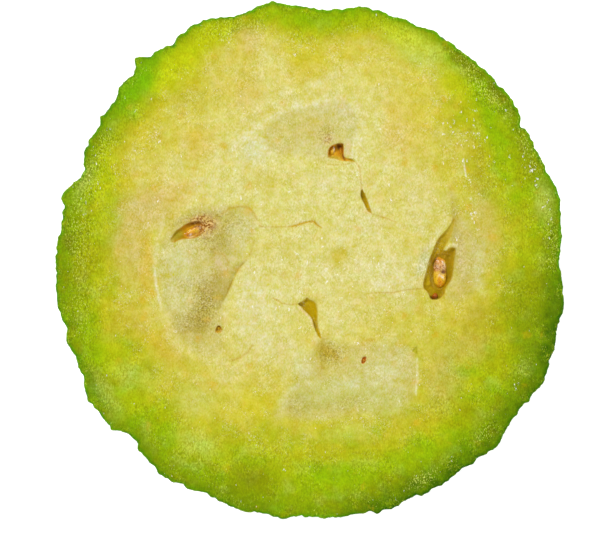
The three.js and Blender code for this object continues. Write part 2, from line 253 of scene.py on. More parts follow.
# The same, over the jelly of the chambers.
JELLY_PATCHES = [
    (JELLY_SHADE, -8.0, 1.2, 1.1, 2.4, -12, 0.35),
    (JELLY_SHADE, -8.8, -2.6, 1.2, 2.0, -20, 0.6),
    (JELLY_SHADE, -9.5, 4.2, 2.4, 0.7, 10, 0.15),
    (JELLY_SHADE, -10.2, -5.6, 1.8, 1.3, 0, 0.5),
    (JELLY_SHADE, 12.7, 2.6, 0.5, 1.4, 0, 0.4),
    (JELLY_SHADE, 13.8, -0.6, 0.9, 2.4, 0, 0.15),
    (MUSTARD, -2.6, 11.7, 2.0, 1.1, 20, 0.15),
    (TAN, 0.2, 11.4, 1.4, 1.0, 0, 0.1),
    (JELLY_SHADE, -0.6, -12.4, 1.6, 1.0, 10, 0.25),
    (JELLY_GREEN, 1.6, -11.6, 3.4, 1.6, 5, 0.4),
    (JELLY_GREEN, 6.6, -12.4, 2.4, 1.4, 0, 0.4),
    (JELLY_PALE, -11.6, -0.6, 1.6, 2.0, 10, 0.75),
    (JELLY_PALE, -11.8, -3.6, 1.4, 1.4, 0, 0.5),
    (JELLY_PALE, -6.2, 2.8, 0.9, 1.4, 10, 0.4),
    (JELLY_PALE, 6.6, -9.8, 2.2, 1.8, 0, 0.6),
    (JELLY_PALE, -0.8, -9.4, 0.9, 1.2, 0, 0.6),
    (JELLY_PALE, 3.4, -11.0, 1.4, 1.0, 10, 0.7),
    (JELLY_PALE, -5.0, 9.8, 1.2, 1.2, 0, 0.5),
    (JELLY_PALE, 3.6, 11.6, 0.6, 1.6, 0, 0.4),
    (JELLY_PALE, 15.0, -0.4, 0.6, 2.2, 0, 0.5),
    (FLUSH, -7.9, -0.3, 0.6, 0.9, 0, 0.4),
    (FLUSH, 3.32, 9.8, 0.35, 0.75, 0, 0.6),
    (FLUSH, 13.4, 0.6, 0.5, 2.6, 0, 0.3),
    (RUST_BROWN, -8.72, 3.2, 0.24, 0.3, 0, 0.8),
    (BOWL, 1.15, -7.7, 0.5, 0.9, 0, 0.7),
    (BOWL, 1.95, -8.1, 0.7, 0.7, 0, 0.6),
    (BOWL, 1.5, -9.0, 0.8, 0.6, 0, 0.3),
    (BOWL, 5.0, -7.35, 0.6, 0.3, 15, 0.3),
    (BOWL, 9.2, -8.0, 0.3, 0.4, 0, 0.4),
]
# Where dark granules lie, as patches without a colour.
GRIT_PATCHES = [
    (-9.4, -4.2, 1.2, 2.0, -15, 1.0), (-10.6, -5.6, 1.2, 0.7, 0, 0.6), (-7.0, 3.4, 1.4, 0.9, 0, 0.5),
    (-8.9, 4.0, 1.6, 0.5, 0, 0.6), (-8.8, 1.8, 1.8, 1.2, 0, 0.6), (-10.4, -2.2, 1.8, 1.0, 0, 0.5),
    (-11.6, 3.6, 1.0, 0.4, 30, 0.5), (1.8, -8.2, 1.1, 1.0, -20, 1.0), (1.3, 11.2, 0.8, 0.7, 30, 0.8),
    (3.0, -12.5, 1.8, 0.6, 10, 0.5), (-1.2, -12.9, 0.9, 1.0, 0, 0.4), (13.2, 0.8, 0.5, 2.4, 0, 0.4),
]
# Where painted glints show: white specks and streaks that stand for juicy flesh catching the light.
GLINT_PATCHES = [
    (12.95, 2.1, 0.45, 0.5, 0, 1.0), (14.5, 3.6, 0.3, 2.0, 12, 1.0), (9.7, -3.1, 0.5, 0.5, 0, 0.9),
    (12.3, 11.6, 2.4, 0.25, -58, 0.95), (14.7, 11.0, 2.6, 0.35, -63, 0.85),
    (19.4, 8.2, 2.2, 0.45, -67, 0.8), (21.0, 3.6, 0.4, 2.4, 8, 0.7), (18.1, -11.0, 0.3, 0.8, -20, 0.5),
    (12.6, -17.5, 1.2, 0.4, 35, 0.6), (0.1, -8.8, 0.45, 0.8, -20, 1.0), (9.4, -10.6, 0.1, 1.2, 0, 0.8),
    (-8.0, -4.9, 0.4, 0.9, 0, 0.8), (-11.5, -6.3, 0.5, 0.4, 0, 0.6), (4.9, -7.9, 1.6, 0.5, 0, 0.9),
    (-18.8, 7.0, 0.9, 2.8, -20, 0.7), (-14.0, 10.0, 3.0, 4.0, 0, 0.4), (14.0, 9.5, 3.5, 4.5, 20, 0.4),
    (0.0, 0.0, 9.0, 9.0, 0, 0.3),
]
FLECK_SHADE = 0.14  # how much darker the flesh is between close flecks
# Where fine pale flecks of painted glint lie close together, over grainier flesh.
GLINT_FLECK_PATCHES = [
    (-20.4, 1.5, 1.3, 5.0, 2, 0.8), (-19.4, 7.4, 1.2, 2.6, -25, 0.9), (-18.2, 10.4, 1.0, 1.6, -30, 0.6),
    (-20.2, -5.0, 1.1, 3.0, 12, 0.6), (-18.4, -10.9, 0.9, 1.8, 25, 0.6), (-7.6, 20.6, 3.2, 0.9, 14, 0.8),
    (15.4, 15.2, 4.4, 0.9, -48, 0.9), (19.3, 9.6, 3.0, 0.9, -65, 0.8), (21.2, 2.4, 0.8, 3.6, 3, 0.8),
    (18.0, -4.4, 1.6, 0.7, 0, 0.4), (18.5, -9.4, 0.7, 1.8, -15, 0.6), (15.4, -15.2, 1.4, 0.9, 50, 0.8),
    (10.0, -19.2, 1.9, 0.8, 25, 0.9), (-10.0, -18.0, 3.0, 1.0, -30, 0.3), (10.0, -0.1, 0.5, 1.5, -12, 0.6),
]
# Granules of rust, and the stain round them.
RUST_PATCHES = [
    (-9.1, 3.2, 0.8, 0.55, 20, 1.0), (-9.9, 3.74, 0.9, 0.28, 12, 0.9), (-9.3, 2.5, 0.6, 0.5, 0, 0.6),
    (1.55, 10.7, 0.5, 0.4, 30, 0.5),
]

# ---------- forms that the cut laid open ----------
# The jelly-filled chambers, as outlines (x, y).
CHAMBERS = {
    "left": [
        (-12.4, 3.1), (-13.1, 1.6), (-13.5, -0.4), (-13.3, -2.3), (-12.8, -4.4), (-11.9, -6.6),
        (-10.6, -8.1), (-8.8, -8.6), (-7.5, -7.9), (-7.8, -6.6), (-7.7, -5.2), (-7.5, -3.2), (-6.6, -1.0),
        (-5.5, 1.4), (-4.9, 2.7), (-4.8, 3.8), (-5.3, 4.6), (-6.6, 4.8), (-7.9, 4.6), (-9.7, 4.5),
        (-11.0, 4.1),
    ],
    "bottom": [
        (-2.5, -13.3), (-2.4, -12.4), (-1.6, -11.2), (-0.9, -9.8), (0.0, -8.3), (0.8, -7.2), (2.2, -7.3),
        (4.4, -7.7), (6.2, -7.4), (8.0, -7.4), (9.2, -8.0), (9.4, -10.0), (9.3, -11.9), (7.9, -13.0),
        (5.3, -13.4), (2.6, -13.8), (0.0, -14.1), (-1.8, -13.9),
    ],
    "right": [
        (12.5, 4.9), (13.5, 4.0), (14.6, 2.3), (15.3, 0.5), (15.3, -1.3), (14.6, -2.7), (13.0, -3.6),
        (11.6, -3.4), (12.2, -1.5), (12.4, 1.0), (12.3, 3.4),
    ],
    "top": [
        (-4.3, 10.7), (-3.7, 12.0), (-2.2, 13.2), (-0.4, 13.6), (1.8, 14.2), (3.4, 13.9), (4.0, 12.8),
        (4.1, 11.5), (3.7, 10.2), (3.0, 9.2), (1.8, 8.5), (-0.6, 9.4), (-2.6, 9.3), (-3.7, 9.7),
    ],
}
CHAMBER_SOFTNESS = 0.7  # how wide the edge of the jelly's colour is
CHAMBER_SAG = 0.1  # how far the jelly lies below the cut
SAG_SOFTNESS = 1.2  # how wide the way down to it is
FLESH_GRAIN = [(0.016, 0.75, 11), (0.02, 2.2, 12)]  # layers of lumps: strength, size, seed

# Hollows, as outlines: x, y, how far in from the edge the wall reaches the floor, and how deep the floor is.
# Where two overlap, the deeper one counts.
HOLLOWS = {
    "right": [
        (12.72, 3.9, 0.15, 0.05), (12.48, 3.51, 0.1, 0.1), (12.15, 2.93, 0.08, 0.18),
        (11.74, 2.49, 0.08, 0.28), (11.2, 1.94, 0.08, 0.35), (10.87, 1.1, 0.1, 0.4),
        (10.46, 0.15, 0.12, 0.42), (10.21, -0.87, 0.15, 0.42), (9.95, -1.69, 0.15, 0.42),
        (9.86, -2.41, 0.15, 0.42), (10.43, -2.85, 0.1, 0.7), (10.55, -3.45, 0.12, 0.8),
        (11.2, -3.5, 0.15, 0.8), (11.82, -3.14, 0.3, 0.7), (12.08, -2.34, 0.4, 0.6),
        (12.66, -1.69, 0.5, 0.5), (12.85, 0.0, 0.5, 0.5), (12.95, 0.8, 0.4, 0.5), (12.85, 1.22, 0.25, 0.45),
        (12.26, 1.25, 0.2, 0.4), (11.95, 0.9, 0.2, 0.4), (11.8, 1.0, 0.3, 0.4), (12.3, 1.69, 0.4, 0.3),
        (12.7, 2.56, 0.5, 0.25), (12.88, 3.6, 0.3, 0.1),
    ],
    "right_pocket": [
        (11.7, 1.1, 0.7, 0.6), (10.95, 0.95, 0.6, 0.7), (10.5, 0.1, 0.3, 0.75), (10.35, -1.0, 0.3, 0.75),
        (10.4, -2.0, 0.3, 0.75), (10.75, -2.6, 0.3, 0.75), (11.5, -2.8, 0.3, 0.8), (12.1, -2.3, 0.4, 0.8),
        (12.6, -1.6, 0.5, 0.8), (12.75, 0.0, 0.5, 0.75), (12.75, 1.0, 0.7, 0.6), (12.2, 1.1, 0.7, 0.55),
    ],
    "top": [
        (1.46, 9.4, 0.12, 0.6), (1.66, 10.1, 0.08, 0.6), (2.2, 10.34, 0.08, 0.65), (2.92, 10.46, 0.08, 0.7),
        (2.96, 9.8, 0.08, 0.7), (2.93, 9.25, 0.08, 0.6), (3.24, 9.0, 0.08, 0.22), (3.62, 9.1, 0.1, 0.14),
        (4.05, 8.68, 0.06, 0.08), (3.4, 8.76, 0.1, 0.14), (2.56, 8.82, 0.12, 0.35), (2.2, 8.98, 0.2, 0.5),
        (1.55, 8.96, 0.3, 0.4),
    ],
    "left": [
        (-12.5, 1.75, 0.2, 0.15), (-12.32, 2.1, 0.12, 0.2), (-11.92, 2.65, 0.08, 0.3),
        (-11.45, 2.94, 0.08, 0.35), (-11.08, 3.24, 0.08, 0.4), (-10.47, 3.48, 0.08, 0.45),
        (-9.95, 3.54, 0.1, 0.4), (-9.4, 3.5, 0.2, 0.3), (-9.1, 3.05, 0.25, 0.25), (-9.45, 2.5, 0.25, 0.3),
        (-9.79, 2.15, 0.2, 0.35), (-10.33, 1.94, 0.15, 0.35), (-11.08, 1.92, 0.15, 0.35),
        (-11.55, 1.8, 0.2, 0.25), (-12.09, 1.5, 0.2, 0.15),
    ],
    "left_pocket": [
        (-9.45, 3.1, 0.2, 0.4), (-9.85, 3.34, 0.2, 0.43), (-10.58, 3.08, 0.2, 0.44),
        (-11.24, 2.64, 0.2, 0.44), (-11.3, 2.16, 0.2, 0.44), (-10.88, 1.92, 0.2, 0.44),
        (-10.12, 2.16, 0.2, 0.43), (-9.5, 2.66, 0.2, 0.4),
    ],
    "middle": [
        (-1.2, -3.78, 0.06, 0.3), (-0.67, -3.5, 0.2, 0.4), (-0.34, -3.12, 0.3, 0.4),
        (0.01, -3.35, 0.4, 0.45), (0.5, -3.48, 0.5, 0.45), (0.7, -4.0, 0.5, 0.45), (0.78, -4.62, 0.45, 0.4),
        (0.72, -5.23, 0.4, 0.4), (0.74, -5.91, 0.3, 0.35), (0.93, -6.45, 0.2, 0.25),
        (1.0, -6.95, 0.1, 0.15), (0.76, -6.8, 0.06, 0.2), (0.52, -6.38, 0.06, 0.25),
        (0.28, -5.77, 0.06, 0.4), (0.14, -5.1, 0.06, 0.45), (-0.15, -4.75, 0.06, 0.5),
        (-0.56, -4.38, 0.06, 0.5), (-0.84, -4.05, 0.06, 0.45),
    ],
    "upper": [
        (4.54, 6.45, 0.06, 0.2), (4.72, 6.12, 0.1, 0.25), (4.96, 5.64, 0.18, 0.3), (5.22, 4.97, 0.18, 0.3),
        (5.44, 4.12, 0.06, 0.2), (5.03, 4.35, 0.06, 0.3), (4.76, 4.97, 0.06, 0.35),
        (4.56, 5.39, 0.06, 0.35), (4.42, 5.64, 0.06, 0.35), (4.4, 6.0, 0.06, 0.25),
    ],
    "left_pin": [
        (-8.46, -6.0, 0.1, 0.3), (-8.1, -5.6, 0.08, 0.42), (-7.76, -5.95, 0.08, 0.32),
        (-7.76, -6.38, 0.2, 0.28), (-8.42, -6.44, 0.2, 0.28),
    ],
    "lower_pin": [
        (4.44, -9.0, 0.08, 0.2), (4.56, -8.48, 0.06, 0.22), (4.98, -8.4, 0.06, 0.2),
        (4.87, -8.95, 0.08, 0.2), (4.6, -9.12, 0.08, 0.2),
    ],
    "corner_pin": [
        (8.92, -7.95, 0.08, 0.12), (9.25, -7.58, 0.08, 0.12), (9.44, -7.46, 0.08, 0.12),
        (9.44, -8.35, 0.08, 0.12), (9.2, -8.15, 0.08, 0.12),
    ],
}
# The colour of each hollow's floor.
HOLLOW_COLOURS = {
    "right": (196, 164, 12),
    "right_pocket": (180, 142, 8),
    "top": (240, 176, 34),
    "left": (206, 146, 10),
    "left_pocket": (220, 158, 10),
    "middle": (204, 172, 4),
    "upper": (206, 172, 8),
    "left_pin": (212, 168, 40),
    "lower_pin": (214, 120, 24),
    "corner_pin": (190, 184, 36),
}
# Patches on the floors, as for the flesh: painted shade by walls and seeds, a painted highlight, and tints.
HOLLOW_PATCHES = [
    # painted shade round the right seed
    ((176, 146, 10), 12.45, -0.7, 0.4, 1.7, -5, 0.6),
    ((150, 88, 8), 10.75, 0.1, 0.16, 0.5, 10, 0.5),
    ((112, 74, 4), 10.95, -3.25, 0.6, 0.2, 0, 0.5),
    ((178, 150, 14), 10.5, -1.0, 0.5, 2.0, -5, 0.25),
    ((206, 184, 60), 12.35, 2.8, 0.5, 1.3, -25, 0.8),
    ((206, 186, 60), 2.1, 9.08, 0.7, 0.2, -10, 0.9),
    # painted shade in the top hollow's corner and along its right edge
    ((120, 62, 6), 2.5, 10.15, 0.24, 0.3, 0, 0.85),
    ((110, 50, 6), 2.92, 9.15, 0.1, 0.4, 20, 0.8),
    ((196, 172, 30), 3.7, 8.95, 0.45, 0.3, -20, 0.9),
    ((172, 160, 34), -11.75, 2.25, 0.6, 0.5, 35, 0.85),
    ((204, 188, 80), -12.3, 1.75, 0.3, 0.25, 35, 0.9),
    # painted shade at the left seed's top, a painted highlight, and painted shade along the left hollow's top
    # edge
    ((156, 84, 6), -9.75, 2.95, 0.3, 0.4, 0, 0.7),
    ((252, 236, 200), -10.5, 2.12, 0.3, 0.05, 12, 0.7),
    ((112, 58, 6), -10.2, 3.36, 0.7, 0.14, 14, 0.7),
    # painted shade along the middle hollow's left edge, under its overhang
    ((164, 130, 4), -0.95, -3.88, 0.25, 0.14, -20, 0.6),
    ((172, 138, 4), -0.35, -4.35, 0.6, 0.18, -45, 0.5),
    ((172, 138, 4), 0.1, -5.4, 0.7, 0.12, -68, 0.4),
    # painted shade at the upper hollow's top-left
    ((140, 112, 4), 4.55, 5.9, 0.2, 0.6, 20, 0.6),
]
# A shallow dip in the lower jelly, as a patch whose strength is its depth.
BOWL_DIP = (1.8, -8.2, 1.2, 1.1, -25, 0.1)

# Hairline cracks: how dark they are, and points (x, y, half-width).
CRACKS = [
    (1.0, [
        (-1.85, 3.03, 0.06), (-1.25, 3.11, 0.13), (-0.74, 3.32, 0.11), (-0.15, 3.45, 0.1),
        (0.27, 3.49, 0.11), (0.6, 3.15, 0.09), (1.03, 2.9, 0.04),
    ]),
    (0.7, [(-3.35, -3.25, 0.04), (-2.95, -3.48, 0.1), (-2.5, -3.75, 0.05)]),
    (0.7, [(-7.5, -3.26, 0.04), (-7.22, -2.49, 0.08), (-6.84, -1.72, 0.07), (-6.4, -0.84, 0.04)]),
]
# A fold's darkness is painted shade in its dip.
# Folds where the jelly dips against firmer flesh: how dark and how deep they are, and points (x, y, reach),
# with the dip on their left.
FOLDS = [
    (0.5, 0.15, [
        (-7.85, -3.95, 0.3), (-7.4, -3.1, 0.7), (-7.0, -2.3, 0.8), (-6.75, -1.4, 0.7), (-6.35, -0.85, 0.5),
        (-6.0, -0.4, 0.3),
    ]),
    (0.25, 0.1, [(12.3, 6.2, 0.3), (12.42, 4.7, 0.4), (12.5, 3.6, 0.4)]),
    (0.3, 0.08, [(0.95, -7.05, 0.5), (0.8, -7.8, 0.7), (0.78, -8.6, 0.6), (0.85, -9.4, 0.4)]),
]
CRACK_DEPTH = 0.7  # in half-widths

# Lines that show on the cut, like the chambers' pale membranes: colour, strength, points (x, y, half-width).
LINES = [
    (MEMBRANE, 0.4, [(-13.0, 3.8, 0.2), (-13.5, 1.6, 0.22), (-13.75, -0.6, 0.25)]),
    (MEMBRANE, 0.9, [(-13.75, -0.6, 0.12), (-13.6, -2.3, 0.14), (-13.15, -4.3, 0.12)]),
    (MEMBRANE, 0.55, [
        (-6.6, 10.2, 0.4), (-5.6, 10.9, 0.35), (-4.5, 12.0, 0.3), (-3.1, 12.8, 0.28), (-2.0, 13.4, 0.28),
        (-0.3, 13.8, 0.28), (1.7, 14.3, 0.28),
    ]),
    (MEMBRANE, 0.4, [(-0.3, 15.1, 0.4), (1.4, 16.0, 0.4), (2.8, 16.6, 0.4)]),
    (MEMBRANE, 0.35, [(3.6, 14.3, 0.3), (4.4, 13.2, 0.35), (4.5, 11.6, 0.4), (4.2, 10.2, 0.3)]),
    (MEMBRANE, 0.35, [
        (-2.8, -13.6, 0.4), (-2.5, -12.4, 0.35), (-1.8, -11.4, 0.3), (-0.9, -10.9, 0.25), (0.1, -10.7, 0.2),
    ]),
    (MEMBRANE, 0.8, [(9.4, -8.6, 0.1), (9.42, -10.1, 0.12), (9.3, -11.8, 0.1)]),
    (MEMBRANE, 0.5, [
        (9.5, -1.2, 0.3), (9.9, -0.3, 0.3), (10.4, 1.0, 0.35), (10.9, 2.1, 0.35), (11.8, 3.2, 0.3),
    ]),
    (MEMBRANE, 0.6, [(13.0, 1.35, 0.1), (12.4, 1.5, 0.1), (11.95, 1.1, 0.1), (11.75, 0.7, 0.08)]),
    (MEMBRANE, 0.5, [
        (4.1, 11.4, 0.2), (3.85, 10.8, 0.15), (3.72, 10.0, 0.12), (3.8, 9.3, 0.12), (4.1, 8.8, 0.1),
    ]),
    (MEMBRANE, 0.4, [(-7.6, -4.4, 0.15), (-7.5, -5.6, 0.15)]),
    (BUTTER, 0.5, [
        (-13.0, -4.8, 0.4), (-12.4, -6.2, 0.45), (-11.2, -7.6, 0.45), (-9.6, -8.6, 0.4), (-8.2, -8.9, 0.3),
    ]),
    (STRING, 0.5, [
        (-7.9, 4.1, 0.1), (-7.1, 4.65, 0.1), (-6.2, 4.82, 0.1), (-5.5, 4.75, 0.12), (-4.95, 4.2, 0.1),
        (-4.7, 3.6, 0.08),
    ]),
    (STRING, 0.4, [(-6.4, -0.84, 0.1), (-5.9, -0.2, 0.12), (-5.3, 0.6, 0.12), (-5.0, 1.8, 0.1)]),
    (STRING, 0.35, [
        (-8.8, 0.2, 0.12), (-8.4, 0.7, 0.12), (-7.7, 0.6, 0.12), (-7.2, -0.1, 0.12), (-7.4, -0.9, 0.12),
        (-8.0, -1.2, 0.12),
    ]),
    (STRING, 0.6, [
        (-4.6, 3.3, 0.05), (-4.4, 3.05, 0.08), (-4.1, 2.98, 0.07), (-3.5, 2.99, 0.06), (-1.85, 3.03, 0.06),
    ]),
    (STRING, 0.6, [(-2.5, -3.75, 0.06), (-1.95, -3.85, 0.06), (-1.2, -3.8, 0.06)]),
    (STRING, 0.65, [
        (5.3, -2.85, 0.04), (6.2, -2.8, 0.06), (7.3, -2.8, 0.07), (8.2, -2.58, 0.07), (9.4, -2.46, 0.07),
        (9.95, -2.46, 0.06),
    ]),
    (STRING, 0.6, [
        (3.98, 8.68, 0.07), (4.28, 8.35, 0.08), (4.4, 7.67, 0.08), (4.45, 7.0, 0.08), (4.52, 6.4, 0.08),
    ]),
    (STRING, 0.6, [(5.4, 4.15, 0.06), (5.84, 4.04, 0.07), (6.6, 3.79, 0.07), (7.55, 3.44, 0.05)]),
    (STRING, 0.6, [(-5.1, -7.4, 0.1), (-5.57, -8.09, 0.12), (-6.24, -8.54, 0.12), (-6.9, -8.78, 0.1)]),
    (STRING, 0.5, [(1.45, 8.5, 0.06), (2.3, 8.47, 0.06), (3.1, 8.52, 0.06), (3.8, 8.68, 0.05)]),
    # a painted highlight: a thin streak of glint
    (GLINT_STREAK_WHITE, 0.7, [(13.5, 9.0, 0.04), (13.6, 8.2, 0.07), (13.72, 7.45, 0.05)]),
    (BLUSH, 0.7, [(-0.95, -4.15, 0.07), (-0.25, -4.85, 0.07), (0.05, -5.2, 0.07), (0.22, -5.8, 0.06)]),
]


# ---------- helpers ----------
NOISE_STEP = np.array((17.3, 5.1, 9.7))  # each seed looks at the noise this much further on
EVEN = 1.5  # for patches that are even inside and end rather sharply
CORNER_CUTS = 2  # how often an outline's corners are cut


def linear(rgb):
    """An sRGB colour, 0 to 255, as linear light."""
    part = np.asarray(rgb, float) / 255
    return np.where(part <= 0.04045, part / 12.92, ((part + 0.055) / 1.055) ** 2.4)


def paint(rgb):
    """An sRGB colour as it should look under the scene's lights, as a surface colour with alpha."""
    return (*(linear(rgb) / LIGHT_LEVEL), 1.0)


def ease(low, high, value):
    """0 at low and 1 at high, with a smooth change between and none beyond."""
    share = np.clip((value - low) / (high - low), 0, 1)
    return share * share * (3 - 2 * share)


def bell(value):
    """1 at 0, with a smooth fall to 0 on both sides."""
    return np.exp(-(value**2))


def around(table, angle):
    """A value that changes smoothly round the fruit, from rows (direction, value)."""
    at = np.array([row[0] for row in table], float)
    at = np.concatenate([at - 360, at, at + 360])
    value = np.tile([row[1] for row in table], 3)
    index = np.searchsorted(at, angle, side="right") - 1
    share = ease(at[index], at[index + 1], angle)
    return value[index] * (1 - share) + value[index + 1] * share


def lumps(points, size, seed):
    """Smooth noise from about -1 to 1, with lumps of this size."""
    return np.array([noise.noise(Vector(p)) for p in points / size + seed * NOISE_STEP])


def layers(points, rows):
    """Lumps added up, from rows (strength, size, seed)."""
    return sum(strength * lumps(points, size, seed) for strength, size, seed in rows)


def cells(points, size, seed):
    """Distance to the nearest of scattered spots this far apart, from 0 to about 1."""
    return np.array([noise.voronoi(Vector(p))[0][0] for p in points / size + seed * NOISE_STEP])


def nearest(xy, rows, closed):
    """For each point: distance to the line through the rows, negative outside the closed line or on the right
    of the open one, and the rows' further values there."""
    rows = np.asarray(rows, float)
    ends = np.roll(rows, -1, 0) if closed else rows[1:]
    distance = np.full(len(xy), np.inf)
    value = np.zeros((rows.shape[1] - 2, len(xy)))
    inside = np.zeros(len(xy), bool)
    for start, end in zip(rows, ends):
        step = end[:2] - start[:2]
        offset = xy - start[:2]
        share = np.clip((offset @ step) / max(step @ step, 1e-12), 0, 1)
        away = np.linalg.norm(offset - share[:, None] * step, axis=1)
        closer = away < distance
        distance[closer] = away[closer]
        value[:, closer] = start[2:, None] + share[closer] * (end - start)[2:, None]
        if not closed:
            inside[closer] = (step[0] * offset[:, 1] - step[1] * offset[:, 0] > 0)[closer]
        elif step[1] != 0:
            spans = (start[1] > xy[:, 1]) != (end[1] > xy[:, 1])
            inside ^= spans & (xy[:, 0] < start[0] + step[0] * (xy[:, 1] - start[1]) / step[1])
    return np.where(inside, distance, -distance), value


def rounded(rows):
    """A closed line with its corners cut."""
    rows = np.asarray(rows, float)
    for _ in range(CORNER_CUTS):
        after = np.roll(rows, -1, 0)
        pairs = np.stack([rows * 0.75 + after * 0.25, rows * 0.25 + after * 0.75], 1)
        rows = pairs.reshape(-1, rows.shape[1])
    return rows


def patches(xy, table, evenness=1.0):
    """How strongly the table's soft patches cover each point. The more even, the sharper their edges."""
    bare = np.ones(len(xy))
    for x, y, width, height, turn, strength in table:
        cos, sin = math.cos(math.radians(turn)), math.sin(math.radians(turn))
        along = ((xy[:, 0] - x) * cos + (xy[:, 1] - y) * sin) / width
        across = ((xy[:, 1] - y) * cos - (xy[:, 0] - x) * sin) / height
        bare *= 1 - strength * np.exp(-((along**2 + across**2) ** evenness))
    return 1 - bare


def blend(under, over, share):
    """Colours under, covered by one colour over."""
    return under + (linear(over) - under) * share[:, None]


def with_patches(colours, xy, table):
    """Colours with the table's patches laid over them in turn."""
    for over, *patch in table:
        colours = blend(colours, over, patches(xy, [patch], EVEN))
    return colours


# ---------- shapes taken from the frame ----------
def mesh_rows(mesh, name):
    """Each point's own "co" in metres or "normal"."""
    flat = np.zeros(len(mesh.vertices) * 3)
    mesh.vertices.foreach_get(name, flat)
    return flat.reshape(-1, 3)


def cad_arrays(node):
    """A CAD node's points in millimetres, each once, and its triangles."""
    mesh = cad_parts[node].data
    points = mesh_rows(mesh, "co") / MM
    _, first, number = np.unique(points.round(4), axis=0, return_index=True, return_inverse=True)
    number = number.ravel()
    triangles = [tuple(int(number[v]) for v in p.vertices) for p in mesh.polygons]
    return points[first], [t for t in triangles if len(set(t)) == len(t)]


CAD_POINTS, CAD_TRIANGLES = cad_arrays(FRUIT)


def rim_radius(angle):
    """The cut's outline: distance from the axis by direction, without the fine relief."""
    edge = CAD_POINTS[CAD_POINTS[:, 2] > TOP - 0.001]
    offset = edge[:, :2] - AXIS
    radius = np.hypot(*offset.T)
    outer = radius > 0.8 * radius.max()  # the rest are the hollows' edges
    at = np.degrees(np.arctan2(offset[outer, 1], offset[outer, 0])) % 360
    order = np.argsort(at)
    return np.interp(angle % 360, at[order], radius[outer][order], period=360)


def on_top(angle, radius):
    """Points at the cut's height, by direction and distance from the axis."""
    turn = np.radians(angle)
    x = AXIS[0] + radius * np.cos(turn)
    y = AXIS[1] + radius * np.sin(turn)
    return np.column_stack([x, y, np.full(len(x), TOP)])


def skin_relief(points):
    """How far the skin's own pits and warts stand out at each point."""
    relief = 0.12 * lumps(points, 3.2, 1)
    bent = points + 0.25 * lumps(points, 1.5, 5)[:, None]
    relief += 0.36 * (0.3 - cells(bent, 1.3, 2) ** 2)
    relief += 0.14 * (0.3 - cells(points, 0.62, 4) ** 2)
    relief += 0.05 * lumps(points, 0.5, 3)
    return relief


def rim_marks(angle, below):
    """How far the rim's own knobs and nicks stand out, by direction and height below the cut."""
    relief = np.zeros(np.broadcast(angle, below).shape)
    for direction, height, width in RIM_MARKS:
        turn = (angle - direction + 180) % 360 - 180
        reach = KNOB_REACH * width if height > 0 else NICK_REACH
        relief += height * bell(turn / width) * bell(below / reach)
    return relief


def skin_detail(points, angle, below, strength):
    """How far the skin stands out from its plain form, with the rim's marks and crumbs."""
    crumbs = layers(points, CRUMBS) * (1 - ease(0, CRUMB_REACH, below))
    return skin_relief(points) * strength + rim_marks(angle, below) + crumbs


def tuck(below):
    """How far the skin stays in from the cut's outline, by height below the cut."""
    return 0.2 * ease(0, 1, below) + 0.1 * ease(1, 3, below)


RIM_ANGLES = np.arange(2 * SECTORS) * 180 / SECTORS
PLAIN_RIM = rim_radius(RIM_ANGLES)
RIM = PLAIN_RIM + skin_detail(on_top(RIM_ANGLES, PLAIN_RIM), RIM_ANGLES, 0.0, RIM_RELIEF)


def skin_points():
    """The skin below the rim as rings of points, the lower ones half as dense, and the middle of the end."""
    tree = BVHTree.FromPolygons([Vector(p) for p in CAD_POINTS], CAD_TRIANGLES)
    centre = Vector((*AXIS, TOP))
    start = 100.0  # well outside the fruit
    side_falls = np.linspace(0, END_FALL, SKIN_RINGS + 1)[1:]
    end_falls = np.linspace(END_FALL, 90, END_RINGS + 1)[1:-1]
    turns = np.arange(SECTORS) * 2 * math.pi / SECTORS
    rings = []
    for ring, fall in enumerate(np.radians([*side_falls, *end_falls])):
        turn = turns if ring < FINE_RINGS else turns[::2]
        angle = np.degrees(turn)
        slope = np.full(len(turn), -math.tan(fall))
        away = np.column_stack([np.cos(turn), np.sin(turn), slope]) * math.cos(fall)
        hits = [tree.ray_cast(centre + start * Vector(d), -Vector(d))[3] for d in away]
        reach = start - np.array(hits)
        reach = sum(np.roll(reach, shift) for shift in (-2, -1, 0, 1, 2)) / 5
        below = reach * math.sin(fall)
        # Seen from above, the cut's own outline is the widest.
        reach = np.minimum(reach, (rim_radius(angle) - tuck(below)) / math.cos(fall))
        place = np.array(centre) + away * reach[:, None]
        strength = RIM_RELIEF + (SIDE_RELIEF - RIM_RELIEF) * ease(0.3, 3, below)
        strength = strength * (1 - END_CALM * ease(END_FALL - 6, END_FALL + 4, math.degrees(fall)))
        reach = reach + skin_detail(place, angle, below, strength)
        rings.append(np.array(centre) + away * reach[:, None])
    end = tree.ray_cast(Vector((*AXIS, -start)), Vector((0, 0, 1)))[0]
    return rings, np.array(end)


# ---------- the cut face ----------
def hexagonal(spacing):
    """Points in a staggered grid over the whole cut."""
    size = RIM.max()
    rows = np.arange(-size, size, spacing * math.sqrt(0.75))
    columns = np.arange(-size, size, spacing)
    grid = [
        np.column_stack([columns + (index % 2) * spacing / 2, np.full(len(columns), y)])
        for index, y in enumerate(rows)
    ]
    return np.concatenate(grid)


